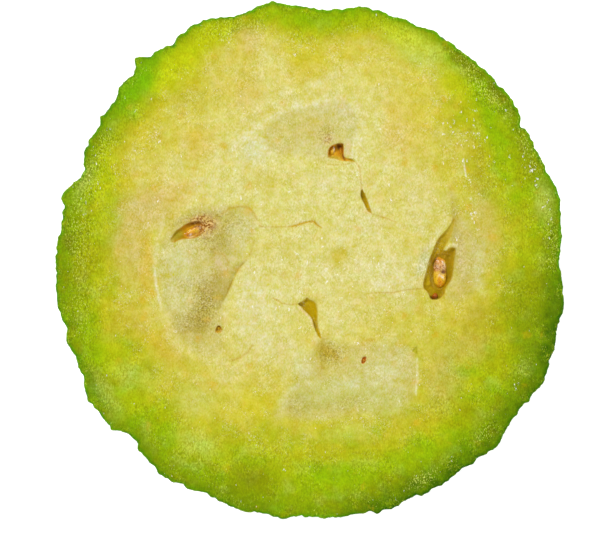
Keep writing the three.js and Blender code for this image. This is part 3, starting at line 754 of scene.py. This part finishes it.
def edge_nearness(xy):
    """Distance to the nearest hollow's edge, crack or line, where close, and whether it is in a hollow."""
    distance = np.full(len(xy), np.inf)
    hollow = np.zeros(len(xy), bool)
    forms = [(rounded(outline), True) for outline in HOLLOWS.values()]
    forms += [(np.array(form[-1]), False) for form in CRACKS + FOLDS + LINES]
    for rows, closed in forms:
        wide = not closed and rows[:, 2].max() > WIDE_LINE
        low = rows[:, :2].min(0) - NEAR_EDGE
        high = rows[:, :2].max(0) + NEAR_EDGE
        close = np.flatnonzero(np.all((xy > low) & (xy < high), axis=1))
        signed, _ = nearest(xy[close], rows, closed)
        distance[close] = np.minimum(distance[close], np.abs(signed) + wide * ALONG_EDGE)
        hollow[close] |= (signed > 0) & closed
    return distance, hollow


def polar(xy):
    """Direction of each point and its depth in from the rim."""
    angle = np.degrees(np.arctan2(xy[:, 1], xy[:, 0])) % 360
    return angle, np.interp(angle, RIM_ANGLES, RIM, period=360) - np.hypot(xy[:, 0], xy[:, 1])


def cut_face_plan():
    """Points (x, y) for the cut face, close together where it has edges. The rim comes first."""
    turn = np.radians(RIM_ANGLES)
    around_axis = np.column_stack([np.cos(turn), np.sin(turn)])
    plan = [around_axis * (RIM - inset)[:, None] for inset in (0, *RIM_INSETS)]
    for level, spacing in enumerate(SPACINGS):
        xy = hexagonal(spacing)
        if level > 0:
            xy = xy[np.hypot(*xy.T) < MIDDLE_REACH]
        xy = xy[polar(xy)[1] > RIM_INSETS[-1] + 0.6 * SPACINGS[0]]
        distance, hollow = edge_nearness(xy)
        wanted = np.where(distance < ALONG_EDGE, 2, np.where((distance < NEAR_EDGE) | hollow, 1, 0))
        plan.append(xy[wanted == level])
    return np.concatenate(plan)


def flat_points(xy):
    """Points of the cut face in space, for the noise."""
    return np.column_stack([xy, np.zeros(len(xy))])


def chamber_cover(xy, softness):
    """How far each point is inside a jelly-filled chamber, 0 to 1."""
    cover = np.zeros(len(xy))
    for outline in CHAMBERS.values():
        signed, _ = nearest(xy, rounded(outline), True)
        cover = np.maximum(cover, ease(-softness / 2, softness / 2, signed))
    return cover


def hollow_shares(xy):
    """How deep each point lies in a hollow, and each hollow's share of its own depth there."""
    depth = np.zeros(len(xy))
    shares = {}
    for name, outline in HOLLOWS.items():
        signed, (softness, floor) = nearest(xy, rounded(outline), True)
        shares[name] = ease(-0.02, softness, signed)
        depth = np.maximum(depth, shares[name] * floor)
    return depth, shares


def crack_cover(xy):
    """How deep each point lies in a hairline crack, and how dark the crack makes it."""
    depth = np.zeros(len(xy))
    dark = np.zeros(len(xy))
    for strength, rows in CRACKS:
        signed, (width,) = nearest(xy, rows, False)
        part = bell(signed / width)
        depth = np.maximum(depth, part * width * CRACK_DEPTH)
        dark = np.maximum(dark, part * strength)
    return depth, dark


def fold_cover(xy):
    """How deep the folds' dips are at each point, and how dark their painted shade is."""
    depth = np.zeros(len(xy))
    dark = np.zeros(len(xy))
    for strength, drop, rows in FOLDS:
        signed, (reach,) = nearest(xy, rows, False)
        share = ease(-0.04, 0.1, signed) * bell(signed / reach) * ease(0.02, 0.3, reach)
        depth = np.maximum(depth, share * drop)
        dark = np.maximum(dark, share * strength)
    return depth, dark


def cut_face_height(xy):
    """Height of the cut face over the flat cut."""
    points = flat_points(xy)
    sag = CHAMBER_SAG * chamber_cover(xy, SAG_SOFTNESS) * (1 + 0.4 * lumps(points, 1.6, 13))
    dip = patches(xy, [BOWL_DIP])
    cuts = hollow_shares(xy)[0] + crack_cover(xy)[0] + fold_cover(xy)[0]
    return layers(points, FLESH_GRAIN) - sag - dip - cuts


def greenness(share):
    """1 in the green part of the flesh and 0 inside it, by share of the green's reach."""
    return 1 - ease(0.5, 1.1, share)


def plain_flesh(points, angle, depth, small):
    """The flesh's own colour, from green at the rim to cream in the middle, with veils and the rim's shade.
    small is the noise that frays its zones."""
    fine = lumps(points, 0.5, 27)
    share = np.maximum(depth, 0) / around(GREEN_REACH, angle)
    share = share * (1 + 0.2 * lumps(points, 2.4, 21) + 0.16 * small) + 0.06 * small
    stops = [stop for stop, _ in FLESH]
    shades = np.array([linear(rgb) for _, rgb in FLESH])
    colour = np.column_stack([np.interp(share, stops, shades[:, c]) for c in range(3)])

    middle = ease(0.5, 0.9, share) * (1 - ease(1.3, 2.2, share))
    deep = ease(0.9, 1.6, share)
    zones = {
        "green": greenness(share),
        "inner green": greenness(share) * ease(0.3, 1.5, depth),
        "middle": middle,
        "deep": deep,
        "middle and deep": middle + deep,
    }
    for over, zone, strength, size, seed, fineness, low, high in VEILS:
        veil = ease(low, high, lumps(points, size, seed) + fineness * fine)
        colour = blend(colour, over, strength * veil * zones[zone])
    dark = around(RIM_SHADE, angle) * (1 - ease(0.3, RIM_SHADE_REACH, depth))
    return blend(colour, DEEP_GREEN, np.clip(dark * (0.8 + 0.5 * small + 0.3 * fine), 0, 1))


def flesh_colours(xy):
    """Linear surface colour of the cut face at each point."""
    points = flat_points(xy)
    angle, depth = polar(xy)
    small = lumps(points, 0.9, 22)
    colour = plain_flesh(points, angle, depth, small)
    wander = xy
    for reach, size, seed in PATCH_WANDER:
        wander = wander + reach * np.column_stack([lumps(points, size, seed), lumps(points, size, seed + 1)])
    colour = with_patches(colour, wander, FLESH_PATCHES)
    colour = blend(colour, JELLY, 0.6 * chamber_cover(xy, CHAMBER_SOFTNESS))
    colour = with_patches(colour, wander, JELLY_PATCHES)
    for over, strength, rows in LINES:
        signed, (width,) = nearest(xy, rows, False)
        colour = blend(colour, over, strength * bell(signed / width))
    colour = blend(colour, CRACK, crack_cover(xy)[1])
    # painted shade in the folds' dips
    colour = blend(colour, FOLD_SHADE, fold_cover(xy)[1])
    for name, hollow in hollow_shares(xy)[1].items():
        floor = np.tile(linear(HOLLOW_COLOURS[name]), (len(xy), 1))
        floor = with_patches(floor, xy, HOLLOW_PATCHES)
        colour = colour + (floor - colour) * ease(0.0, 0.5, hollow)[:, None]

    skin = 1 - ease(0.1, 0.32, depth + 0.1 * small)
    rind = blend(np.tile(linear(SKIN_LIGHT), (len(xy), 1)), SKIN_DARK, around(RIM_SHADE, angle))
    return colour + (rind - colour) * skin[:, None]


# ---------- building meshes ----------
def link_object(name, data):
    """A new object in the scene."""
    made = bpy.data.objects.new(name, data)
    bpy.context.scene.collection.objects.link(made)
    return made


def make_object(name, points, faces, materials, face_material=None):
    """A mesh object from points in millimetres, shaded smooth."""
    mesh = bpy.data.meshes.new(name)
    mesh.from_pydata([tuple(p) for p in points * MM], [], faces)
    for material in materials:
        mesh.materials.append(material)
    if face_material is not None:
        mesh.polygons.foreach_set("material_index", face_material)
    mesh.polygons.foreach_set("use_smooth", [True] * len(mesh.polygons))
    mesh.update()
    return link_object(name, mesh)


def add_values(mesh, name, values):
    """A number for each point, for the material to read."""
    mesh.attributes.new(name, "FLOAT", "POINT").data.foreach_set("value", values.astype(np.float32))


def quads(upper, lower, count):
    """Faces between two closed rings of count points, whose first points have these numbers."""
    steps = [(step, (step + 1) % count) for step in range(count)]
    return [(upper + step, lower + step, lower + after, upper + after) for step, after in steps]


def skin_faces(first, rings):
    """Faces of the skin between the rim and the rings from point first, and from the last ring to the end.
    A ring may have half as many points as the one above it."""
    faces = []
    starts = [0]
    counts = [2 * SECTORS]
    for ring in rings:
        starts.append(first if len(starts) == 1 else starts[-1] + counts[-1])
        counts.append(len(ring))
    for upper, lower, many, count in zip(starts, starts[1:], counts, counts[1:]):
        if many == count:
            faces += quads(upper, lower, count)
            continue
        for step in range(count):
            after = (step + 1) % count
            left, middle, right = upper + 2 * step, upper + 2 * step + 1, upper + 2 * after
            faces.append((left, lower + step, middle))
            faces.append((middle, lower + step, lower + after))
            faces.append((middle, lower + after, right))
    end = starts[-1] + counts[-1]
    for step in range(counts[-1]):
        faces.append((starts[-1] + step, end, starts[-1] + (step + 1) % counts[-1]))
    return faces


def cut_face():
    """The cut face's points (x, y) and triangles. The first points go round the rim."""
    plan = cut_face_plan()
    loop = [(i, (i + 1) % len(RIM)) for i in range(len(RIM))]
    found = geometry.delaunay_2d_cdt([Vector(p) for p in plan], loop, [], 1, 1e-6)
    xy = np.array(found[0])
    if len(xy) != len(plan) or np.abs(xy - plan).max() > 1e-4:
        raise ValueError("the cut face's points were merged or reordered")
    return xy, [tuple(face) for face in found[2]]


def make_fruit(flesh, skin):
    """The half fruit as one closed mesh of cut face and skin."""
    xy, top_faces = cut_face()
    height = cut_face_height(xy)
    for ring, below in enumerate(RIM_ROUNDING):  # the face's own unevenness fades out towards the rim
        rows = slice(ring * len(RIM), (ring + 1) * len(RIM))
        height[rows] = height[rows] * ring / len(RIM_ROUNDING) - below
    rings, end = skin_points()
    sides = np.concatenate([*rings, end[None]])
    points = np.concatenate([np.column_stack([xy + AXIS, TOP + height]), sides])
    faces = top_faces + skin_faces(len(xy), rings)
    face_material = [0] * len(top_faces) + [1] * (len(faces) - len(top_faces))
    fruit = make_object("fruit", points, faces, [flesh, skin], face_material)

    angle, depth = polar(xy)
    in_hollow = np.max(list(hollow_shares(xy)[1].values()), axis=0)
    glint_flecks = patches(xy, GLINT_FLECK_PATCHES, EVEN)
    on_cut_and_sides = {
        "grit": (patches(xy, GRIT_PATCHES, EVEN) * (1 - in_hollow), 0),
        "painted_glints": (patches(xy, GLINT_PATCHES) * (1 - in_hollow), 0),
        "green": (greenness(depth / around(GREEN_REACH, angle)), 1),
        "glint_flecks": (glint_flecks, 0),
        "rust": (patches(xy, RUST_PATCHES), 0),
        "hollow": (in_hollow, 0),
        "relief": (np.zeros(len(xy)), skin_relief(sides)),
        "edge": (np.zeros(len(xy)), ease(0.9, 0.2, TOP - sides[:, 2])),
    }
    for name, (on_cut, on_sides) in on_cut_and_sides.items():
        add_values(fruit.data, name, np.append(on_cut, np.broadcast_to(on_sides, len(sides))))
    tone = np.ones((len(points), 4), np.float32)
    tone[:, :3] = linear(SKIN_LIGHT) / LIGHT_LEVEL
    tone[: len(xy), :3] = flesh_colours(xy) * (1 - FLECK_SHADE * glint_flecks)[:, None] / LIGHT_LEVEL
    fruit.data.attributes.new("tone", "FLOAT_COLOR", "POINT").data.foreach_set("color", tone.ravel())
    return fruit


def refined(node, levels, material):
    """A finer, rounder copy of a CAD node's mesh."""
    made = make_object(node + "_seen", *cad_arrays(node), [material])
    smoother = made.modifiers.new("refine", "SUBSURF")
    smoother.levels = levels
    smoother.render_levels = levels
    graph = bpy.context.evaluated_depsgraph_get()
    mesh = bpy.data.meshes.new_from_object(made.evaluated_get(graph))
    made.modifiers.clear()
    made.data = mesh
    return made


def place_points(mesh, points):
    mesh.vertices.foreach_set("co", (points * MM).ravel())
    mesh.update()


def roughen(mesh, points, relief):
    """Puts the mesh's points at points, and then out along its normals by the relief."""
    place_points(mesh, points)
    place_points(mesh, points + mesh_rows(mesh, "normal") * relief[:, None])


# ---------- material nodes ----------
class Look:
    """One material, its colour so far, and short calls that add nodes to it. A size is in millimetres, and a
    colour given as three numbers is sRGB."""

    def __init__(self, name):
        self.material = bpy.data.materials.new(name)
        self.material.use_nodes = True
        self.nodes = self.material.node_tree.nodes
        self.shader = self.nodes["Principled BSDF"]
        self.place = self.vector("SCALE", self.add("TexCoord").outputs["Object"], None, None, 1 / MM)
        self.base = None

    def add(self, kind, **settings):
        made = self.nodes.new("ShaderNode" + kind)
        for name, value in settings.items():
            setattr(made, name, value)
        return made

    def put(self, socket, value):
        """A link, a plain value or a colour into a socket."""
        if isinstance(value, bpy.types.NodeSocket):
            self.material.node_tree.links.new(value, socket)
        elif socket.type == "RGBA" and len(value) == 3:
            socket.default_value = paint(value)
        elif value is not None:
            socket.default_value = value

    def fill(self, node, *values):
        """The node's first output, once its first inputs have these values."""
        for socket, value in zip(node.inputs, values):
            self.put(socket, value)
        return node.outputs[0]

    def vector(self, operation, *values):
        return self.fill(self.add("VectorMath", operation=operation), *values)

    def math(self, operation, *values):
        return self.fill(self.add("Math", operation=operation), *values)

    def product(self, first, *others):
        for other in others:
            first = self.math("MULTIPLY", first, other)
        return first

    def value(self, name, output="Fac"):
        """What the mesh stores for each point under this name."""
        return self.add("Attribute", attribute_name=name).outputs[output]

    def noise(self, size, detail=2.0, roughness=0.5, stretch=None, distortion=0.0, output="Fac"):
        """Noise from 0 to 1 with lumps of this size."""
        made = self.add("TexNoise")
        place = self.place if stretch is None else self.vector("MULTIPLY", self.place, stretch)
        settings = {"Scale": 1 / size, "Detail": detail, "Roughness": roughness, "Distortion": distortion}
        for name, value in {"Vector": place, **settings}.items():
            self.put(made.inputs[name], value)
        return made.outputs[output]

    def voronoi(self, size, output="Distance", place=None):
        made = self.add("TexVoronoi")
        self.put(made.inputs["Vector"], place or self.place)
        self.put(made.inputs["Scale"], 1 / size)
        return made.outputs[output]

    def between(self, value, low, high, to_low=0.0, to_high=1.0):
        """value from low to high, as a number from to_low to to_high."""
        made = self.add("MapRange", interpolation_type="SMOOTHSTEP")
        return self.fill(made, value, low, high, to_low, to_high)

    def mix(self, share, under, over):
        made = self.add("Mix", data_type="RGBA")
        for index, value in ((0, share), (6, under), (7, over)):
            self.put(made.inputs[index], value)
        return made.outputs[2]

    def lay(self, over, *shares):
        """Lays a colour over the material's colour, as strongly as the product of the shares."""
        self.base = self.mix(self.product(*shares), self.base, over)

    def spread(self, amount):
        """A number as a vector."""
        return self.fill(self.add("CombineXYZ"), amount, amount, amount)

    def scale(self, amount):
        """Makes the material's colour brighter or darker by a number."""
        self.base = self.vector("MULTIPLY", self.base, self.spread(amount))

    def bump(self, height, depth):
        """A normal from a height of 0 to 1 that stands for this depth."""
        made = self.add("Bump")
        self.put(made.inputs["Distance"], depth * MM)
        self.put(made.inputs["Height"], height)
        return made.outputs[0]

    def finish(self, roughness, normal, **more):
        """Joins the shader up. more holds its further inputs."""
        more.update(Base_Color=self.base, Roughness=roughness, Normal=normal)
        for name, value in more.items():
            self.put(self.shader.inputs[name.replace("_", " ")], value)
        return self.material


def flesh_look():
    look = Look("flesh")
    grit, green, glint_flecks, painted_glints, rust = (look.value(name) for name in ("grit", "green", "glint_flecks", "painted_glints", "rust"))
    out_of_hollows = look.between(look.value("hollow"), 0.0, 0.5, 1.0, 0.0)  # keeps glints out of the hollows
    grain = look.noise(0.16, 3, 0.65, stretch=(1.2, 0.7, 1.0))
    mottle = look.noise(0.8, 4, 0.65)
    clump = look.noise(1.7, 2)
    hues = look.noise(0.6, 4, 0.85, output="Color")
    bent = look.vector("MULTIPLY_ADD", hues, (1.6, 1.6, 1.6), look.place)

    # the hue sways, most of all in blue, and the grain is light and dark
    sway = look.vector("MULTIPLY_ADD", hues, (0.3, 0.3, 1.2), (0.85, 0.775, -2.0))
    sway = look.vector("MULTIPLY_ADD", look.spread(grain), (0.0, 0.05, 2.8), sway)
    sway = look.vector("MULTIPLY_ADD", look.spread(mottle), (0.0, 0.1, 2.0), sway)
    sway = look.vector("MAXIMUM", sway, (0.0, 0.0, 0.0))
    look.base = look.vector("MULTIPLY", look.value("tone", "Color"), sway)
    look.scale(look.between(mottle, 0.3, 0.7, 0.92, 1.07))
    contrast = look.product(look.between(green, 0, 1, 0.11, 0.24), look.between(clump, 0.35, 0.65, 0.6, 1.3))
    contrast = look.math("MULTIPLY_ADD", grit, 0.15, contrast)
    contrast = look.math("MULTIPLY_ADD", glint_flecks, 0.2, contrast)
    dark = look.math("SUBTRACT", 1.0, contrast)
    light = look.math("MULTIPLY_ADD", contrast, 0.8, 1.0)
    look.scale(look.between(grain, 0.3, 0.7, dark, light))

    # warm spots, dark specks of grit, and rust with dark and pale granules
    spots = look.between(look.voronoi(1.9, place=bent), 0.26, 0.1)
    chosen = look.between(look.voronoi(1.9, "Color", bent), 0.45, 0.65)
    look.lay((222, 176, 22), spots, chosen, look.between(green, 1.0, 0.6, 0.25, 0.42))
    look.lay((140, 118, 30), look.between(look.noise(0.13, 2, 0.6), 0.5, 0.59), grit, 0.75)
    granules = look.noise(0.19, 2, 0.6)
    look.lay((208, 148, 62), rust, 0.65)
    look.lay((136, 70, 6), look.between(granules, 0.49, 0.55), rust)
    look.lay((236, 200, 130), look.between(granules, 0.45, 0.39), rust)

    # pale curls, and painted highlights: small sparks, streaks and dots of glint on the juicy flesh
    curls = look.between(look.noise(0.2, 3, 0.7, distortion=1.5), 0.52, 0.66)
    curl_colour = look.mix(green, (236, 232, 186), (198, 212, 40))
    look.lay(curl_colour, curls, look.between(clump, 0.45, 0.65, 0.05, 0.5))
    sparks = look.noise(0.12, 2, 0.6, stretch=(1.5, 0.7, 1.0))
    sparks = look.between(look.math("MULTIPLY_ADD", glint_flecks, 0.09, sparks), 0.63, 0.72)
    crowding = look.math("MAXIMUM", look.between(clump, 0.45, 0.6, 0.1, 0.8), glint_flecks)
    look.lay(look.mix(green, (250, 250, 226), (226, 237, 104)), sparks, crowding, out_of_hollows)
    streaks = look.noise(0.3, 2, 0.5, stretch=(2.0, 0.7, 1.0))
    look.lay(GLINT_WHITE, look.between(look.math("MULTIPLY_ADD", painted_glints, 0.14, streaks), 0.75, 0.79), out_of_hollows)
    glint_dots = look.between(look.voronoi(0.5, place=bent), 0.24, 0.14)
    lit = look.math("MULTIPLY_ADD", painted_glints, 0.45, look.voronoi(0.5, "Color", bent))
    look.lay(GLINT_WHITE, glint_dots, look.between(lit, 0.93, 0.97), out_of_hollows)

    height = look.math("ADD", look.product(grain, 0.6), look.product(mottle, 0.8))
    return look.finish(
        look.between(grain, 0.3, 0.7, 0.55, 0.35),
        look.bump(height, 0.06),
        IOR=1.33,
        Specular_IOR_Level=0.08,
        Subsurface_Weight=0.15,
        Subsurface_Scale=MM,
        Subsurface_Radius=(1.4, 1.2, 0.5),
        Coat_Weight=look.between(green, 0, 1, 0.15, 0.02),
        Coat_Roughness=0.1,
        Coat_IOR=1.3,
    )


def skin_look():
    look = Look("skin")
    relief = look.value("relief")
    patch = look.noise(6.0, 3, 0.55)
    mottle = look.noise(1.4, 3, 0.6)
    grain = look.noise(0.22, 3, 0.6)

    look.base = look.mix(look.between(patch, 0.35, 0.65), (50, 92, 14), (70, 112, 22))
    look.lay((90, 128, 30), look.between(mottle, 0.4, 0.7, 0.0, 0.35))
    # painted light on the skin's knobs and painted shade in its pits
    look.lay((108, 142, 46), look.between(relief, -0.02, 0.14, 0.0, 0.4))
    look.lay((24, 52, 8), look.between(relief, -0.04, -0.18, 0.0, 0.85))
    look.lay((126, 154, 54), look.between(look.voronoi(1.1), 0.14, 0.07, 0.0, 0.35))
    look.lay((130, 154, 104), look.between(grain, 0.45, 0.7), look.between(patch, 0.3, 0.7, 0.0, 0.14))
    look.lay((48, 128, 0), look.value("edge"), 0.8)

    height = look.math("ADD", look.product(grain, 0.6), look.product(mottle, 0.8))
    roughness = look.between(grain, 0.3, 0.7, 0.45, 0.62)
    return look.finish(roughness, look.bump(height, 0.16), IOR=1.35, Specular_IOR_Level=0.1)


def seed_look():
    look = Look("seed")
    broad = look.noise(0.9, 2, 0.5, distortion=0.4)
    fine = look.noise(0.14, 3, 0.65)
    lines = look.noise(0.34, 3, 0.6, distortion=1.2)
    speck = look.noise(0.1, 2, 0.6)

    look.base = look.mix(look.between(broad, 0.42, 0.6), (232, 156, 4), (252, 206, 30))
    look.lay((168, 92, 10), look.between(lines, 0.54, 0.62, 0.0, 0.6))
    look.lay(look.mix(look.between(fine, 0.4, 0.6), (150, 68, 2), (212, 114, 6)), look.value("brown"))
    grains = look.mix(look.between(speck, 0.45, 0.6), (206, 150, 96), (242, 206, 176))
    grains = look.mix(look.between(lines, 0.5, 0.6, 0.0, 0.85), grains, (104, 52, 20))
    look.lay(grains, look.value("pink"))
    # painted shade, then painted highlights
    look.lay((78, 34, 6), look.value("shade"))
    look.lay((255, 246, 224), look.value("glint"))
    return look.finish(
        look.between(fine, 0.3, 0.7, 0.25, 0.4),
        look.bump(look.math("ADD", fine, broad), 0.05),
        Specular_IOR_Level=0.25,
        Coat_Weight=0.3,
        Coat_Roughness=0.08,
        Subsurface_Weight=0.1,
        Subsurface_Scale=MM,
    )


def sepal_look():
    look = Look("sepal")
    fibre = look.noise(0.35, 3, 0.6)
    vein = look.value("vein")
    broad = look.between(look.noise(2.0, 3, 0.6), 0.35, 0.65)
    look.base = look.mix(broad, (112, 116, 74), (146, 138, 96))
    look.lay((176, 170, 134), look.between(fibre, 0.45, 0.7, 0.0, 0.5))
    look.lay((88, 76, 48), vein, 0.6)
    return look.finish(0.8, look.bump(look.math("ADD", fibre, vein), 0.15), Sheen_Weight=0.3)


def style_look():
    look = Look("style")
    fibre = look.noise(0.3, 3, 0.6, stretch=(1.0, 1.0, 0.3))
    look.base = look.mix(look.between(fibre, 0.35, 0.65), (84, 58, 34), (136, 104, 66))
    return look.finish(0.85, look.bump(fibre, 0.1))


# ---------- seeds, sepals and style ----------
PLUMPNESS = 3.0  # 2 is an ellipsoid, more is fuller towards its ends
SEED_ROUGHNESS = [(0.04, 0.5, 31), (0.02, 0.18, 32)]  # layers of lumps: strength, size, seed
SEED_SHRINK = 0.03  # keeps the lumps inside the CAD's seed
# How brown each seed is as a whole; the rest is amber.
SEED_BROWN = {
    "seed_right_upright": 0.9,
    "seed_top_left": 0.25,
    "seed_top_right": 0.4,
    "seed_left_upright": 0.15,
    "seed_left_lying": 0.15,
    "seed_lower_upright": 0.4,
}
# Marks on the seeds, as patches seen from above: pink granules, painted shade and painted highlights.
SEED_MARKS = {
    "pink": [
        (11.25, -0.55, 0.42, 0.42, 0, 0.95), (11.85, -0.65, 0.25, 0.38, 0, 0.8),
        (-10.6, 2.2, 0.4, 0.14, 20, 0.4), (-9.6, 3.0, 0.35, 0.4, 0, 0.9),
        (11.2, -3.35, 0.2, 0.12, 30, 0.6),
    ],
    "shade": [
        (11.75, -1.02, 0.3, 0.18, -10, 0.8), (10.95, 0.1, 0.18, 0.3, 0, 0.5),
        (-9.8, 3.2, 0.6, 0.18, 15, 0.6), (2.5, 10.1, 0.22, 0.4, 0, 0.8),
        (-8.1, -5.72, 0.3, 0.16, 0, 0.95), (11.0, -3.2, 0.2, 0.15, 0, 0.4),
    ],
    "glint": [
        (11.72, -0.12, 0.14, 0.06, -60, 0.9), (11.66, -1.45, 0.22, 0.07, -40, 0.9),
        (11.4, -1.3, 0.06, 0.16, -30, 0.6), (-10.55, 2.28, 0.12, 0.08, 60, 0.9),
        (-10.4, 2.05, 0.1, 0.06, 0, 0.8), (2.15, 9.9, 0.05, 0.32, 0, 0.8),
        (11.9, -0.35, 0.06, 0.14, 20, 0.7), (11.1, 0.2, 0.14, 0.05, 30, 0.6),
    ],
}
VEINS = 18  # pairs of them would go all the way round the fruit's axis
VEIN_WIDTH = 0.35  # less makes them finer


def make_seed(node, material, levels):
    """The CAD seed with a rounder form and a rough surface."""
    seed = refined(node, levels, material)
    points = mesh_rows(seed.data, "co") / MM
    middle = (points.max(0) + points.min(0)) / 2
    axes = np.linalg.svd(points - middle, full_matrices=False)[2]
    own = (points - middle) @ axes.T
    half = np.abs((cad_arrays(node)[0] - middle) @ axes.T).max(0)
    along = own / np.abs(own).max(0)
    girth = np.hypot(along[:, 1], along[:, 2])
    plump = (np.abs(along[:, 0]) ** PLUMPNESS + girth**PLUMPNESS) ** (1 / PLUMPNESS)
    points = middle + (along / np.maximum(plump, 0.1)[:, None] * half) @ axes
    roughen(seed.data, points, layers(points, SEED_ROUGHNESS) - SEED_SHRINK)
    add_values(seed.data, "brown", np.full(len(points), SEED_BROWN.get(node, 0.0)))
    for name, table in SEED_MARKS.items():
        add_values(seed.data, name, patches(points, table))
    return seed


def make_sepal(node, material):
    """The CAD sepal with veins and a rough upper side."""
    sepal = refined(node, 2, material)
    points = mesh_rows(sepal.data, "co") / MM
    offset = points[:, :2] - AXIS
    low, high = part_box(node)
    out = np.array((low + high) / 2)[:2] / MM - AXIS
    out /= np.linalg.norm(out)
    across = offset @ np.array((-out[1], out[0]))
    along = offset @ out
    spread = np.abs(across) / np.maximum(along, 1)
    vein = bell(np.sin(VEINS * np.arctan2(across, along)) / VEIN_WIDTH) * np.exp(-spread)
    top = ease(0.0, 0.4, mesh_rows(sepal.data, "normal")[:, 2])
    points[:, 2] += (0.06 * lumps(points, 0.8, 41) + 0.05 * vein) * top
    place_points(sepal.data, points)
    add_values(sepal.data, "vein", vein)
    return sepal


def make_style(node, material):
    """The CAD stub of the style with a rough surface."""
    style = refined(node, 2, material)
    points = mesh_rows(style.data, "co") / MM
    roughen(style.data, points, 0.05 * lumps(points, 0.4, 51))
    return style


# ---------- stage ----------
FLOOR_GLOW = 0.42  # keeps the soft shadow on the floor white, as in the photograph
CAMERA_AIM = (-0.35, -1.1)  # where on the cut face the camera looks, from the fruit's middle
CAMERA_HEIGHT = 400  # above the cut face
FRAME_WIDTH = 54.0  # how much of the cut face the picture is wide
SENSOR = 36
FLOOR_SWEEP = [(1600, 0), (2000, 60), (2400, 240), (2700, 560), (2900, 1000), (3000, 1600)]  # radius, height
FLOOR_SIDES = 96
SKY_STRENGTH = 0.32
# The lamps: name, place, size, power.
LAMPS = [
    ("key", (-780, 900, 1260), 480, 20.5),
    ("fill", (1140, 360, 960), 780, 8.4),
    ("back", (180, -1260, 780), 600, 5.4),
]


def make_camera():
    data = bpy.data.cameras.new("camera")
    data.sensor_width = SENSOR
    data.lens = SENSOR * CAMERA_HEIGHT / FRAME_WIDTH
    data.clip_start = 0.01
    camera = link_object("camera", data)
    camera.location = Vector((*CAMERA_AIM, TOP + CAMERA_HEIGHT)) * MM
    bpy.context.scene.camera = camera


def make_floor():
    """A pale floor that sweeps up far away."""
    turn = np.arange(FLOOR_SIDES) * 2 * math.pi / FLOOR_SIDES
    height = np.ones(FLOOR_SIDES)
    rings = [np.column_stack([np.cos(turn) * r, np.sin(turn) * r, height * z]) for r, z in FLOOR_SWEEP]
    faces = [tuple(range(FLOOR_SIDES))]
    for low in range(0, FLOOR_SIDES * (len(FLOOR_SWEEP) - 1), FLOOR_SIDES):
        faces += quads(low, low + FLOOR_SIDES, FLOOR_SIDES)
    look = Look("floor")
    look.base = look.mix(look.noise(40, 2), (0.93, 0.93, 0.92, 1), (0.95, 0.95, 0.94, 1))
    bump = look.bump(look.noise(3, 2), 0.02)
    material = look.finish(
        0.9, bump, Specular_IOR_Level=0.1, Emission_Color=look.base, Emission_Strength=FLOOR_GLOW
    )
    make_object("floor", np.concatenate(rings), faces, [material])


def make_lights():
    world = bpy.data.worlds.new("world")
    world.use_nodes = True
    background = world.node_tree.nodes["Background"]
    background.inputs["Color"].default_value = (1, 1, 1, 1)
    background.inputs["Strength"].default_value = SKY_STRENGTH
    bpy.context.scene.world = world
    for name, place, size, power in LAMPS:
        data = bpy.data.lights.new(name, "AREA")
        data.shape = "DISK"
        data.size = size * MM
        data.energy = power
        lamp = link_object(name, data)
        lamp.location = Vector(place) * MM
        direction = Vector((0, 0, TOP / 2)) * MM - lamp.location
        lamp.rotation_euler = direction.to_track_quat("-Z", "Y").to_euler()


# ---------- assembly ----------
def dress(piece, node):
    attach(piece, "root")
    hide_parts(node)


bpy.context.scene.view_settings.view_transform = "Standard"
make_camera()
make_lights()
make_floor()

dress(make_fruit(flesh_look(), skin_look()), FRUIT)
SEED_MATERIAL = seed_look()
for seed_node in sorted(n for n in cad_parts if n.startswith("seed_")):
    dress(make_seed(seed_node, SEED_MATERIAL, 3 if "lying" in seed_node else 2), seed_node)
SEPAL_MATERIAL = sepal_look()
for sepal_node in ("sepal_1", "sepal_2", "sepal_3", "sepal_4"):
    dress(make_sepal(sepal_node, SEPAL_MATERIAL), sepal_node)
dress(make_style("style_stub", style_look()), "style_stub")
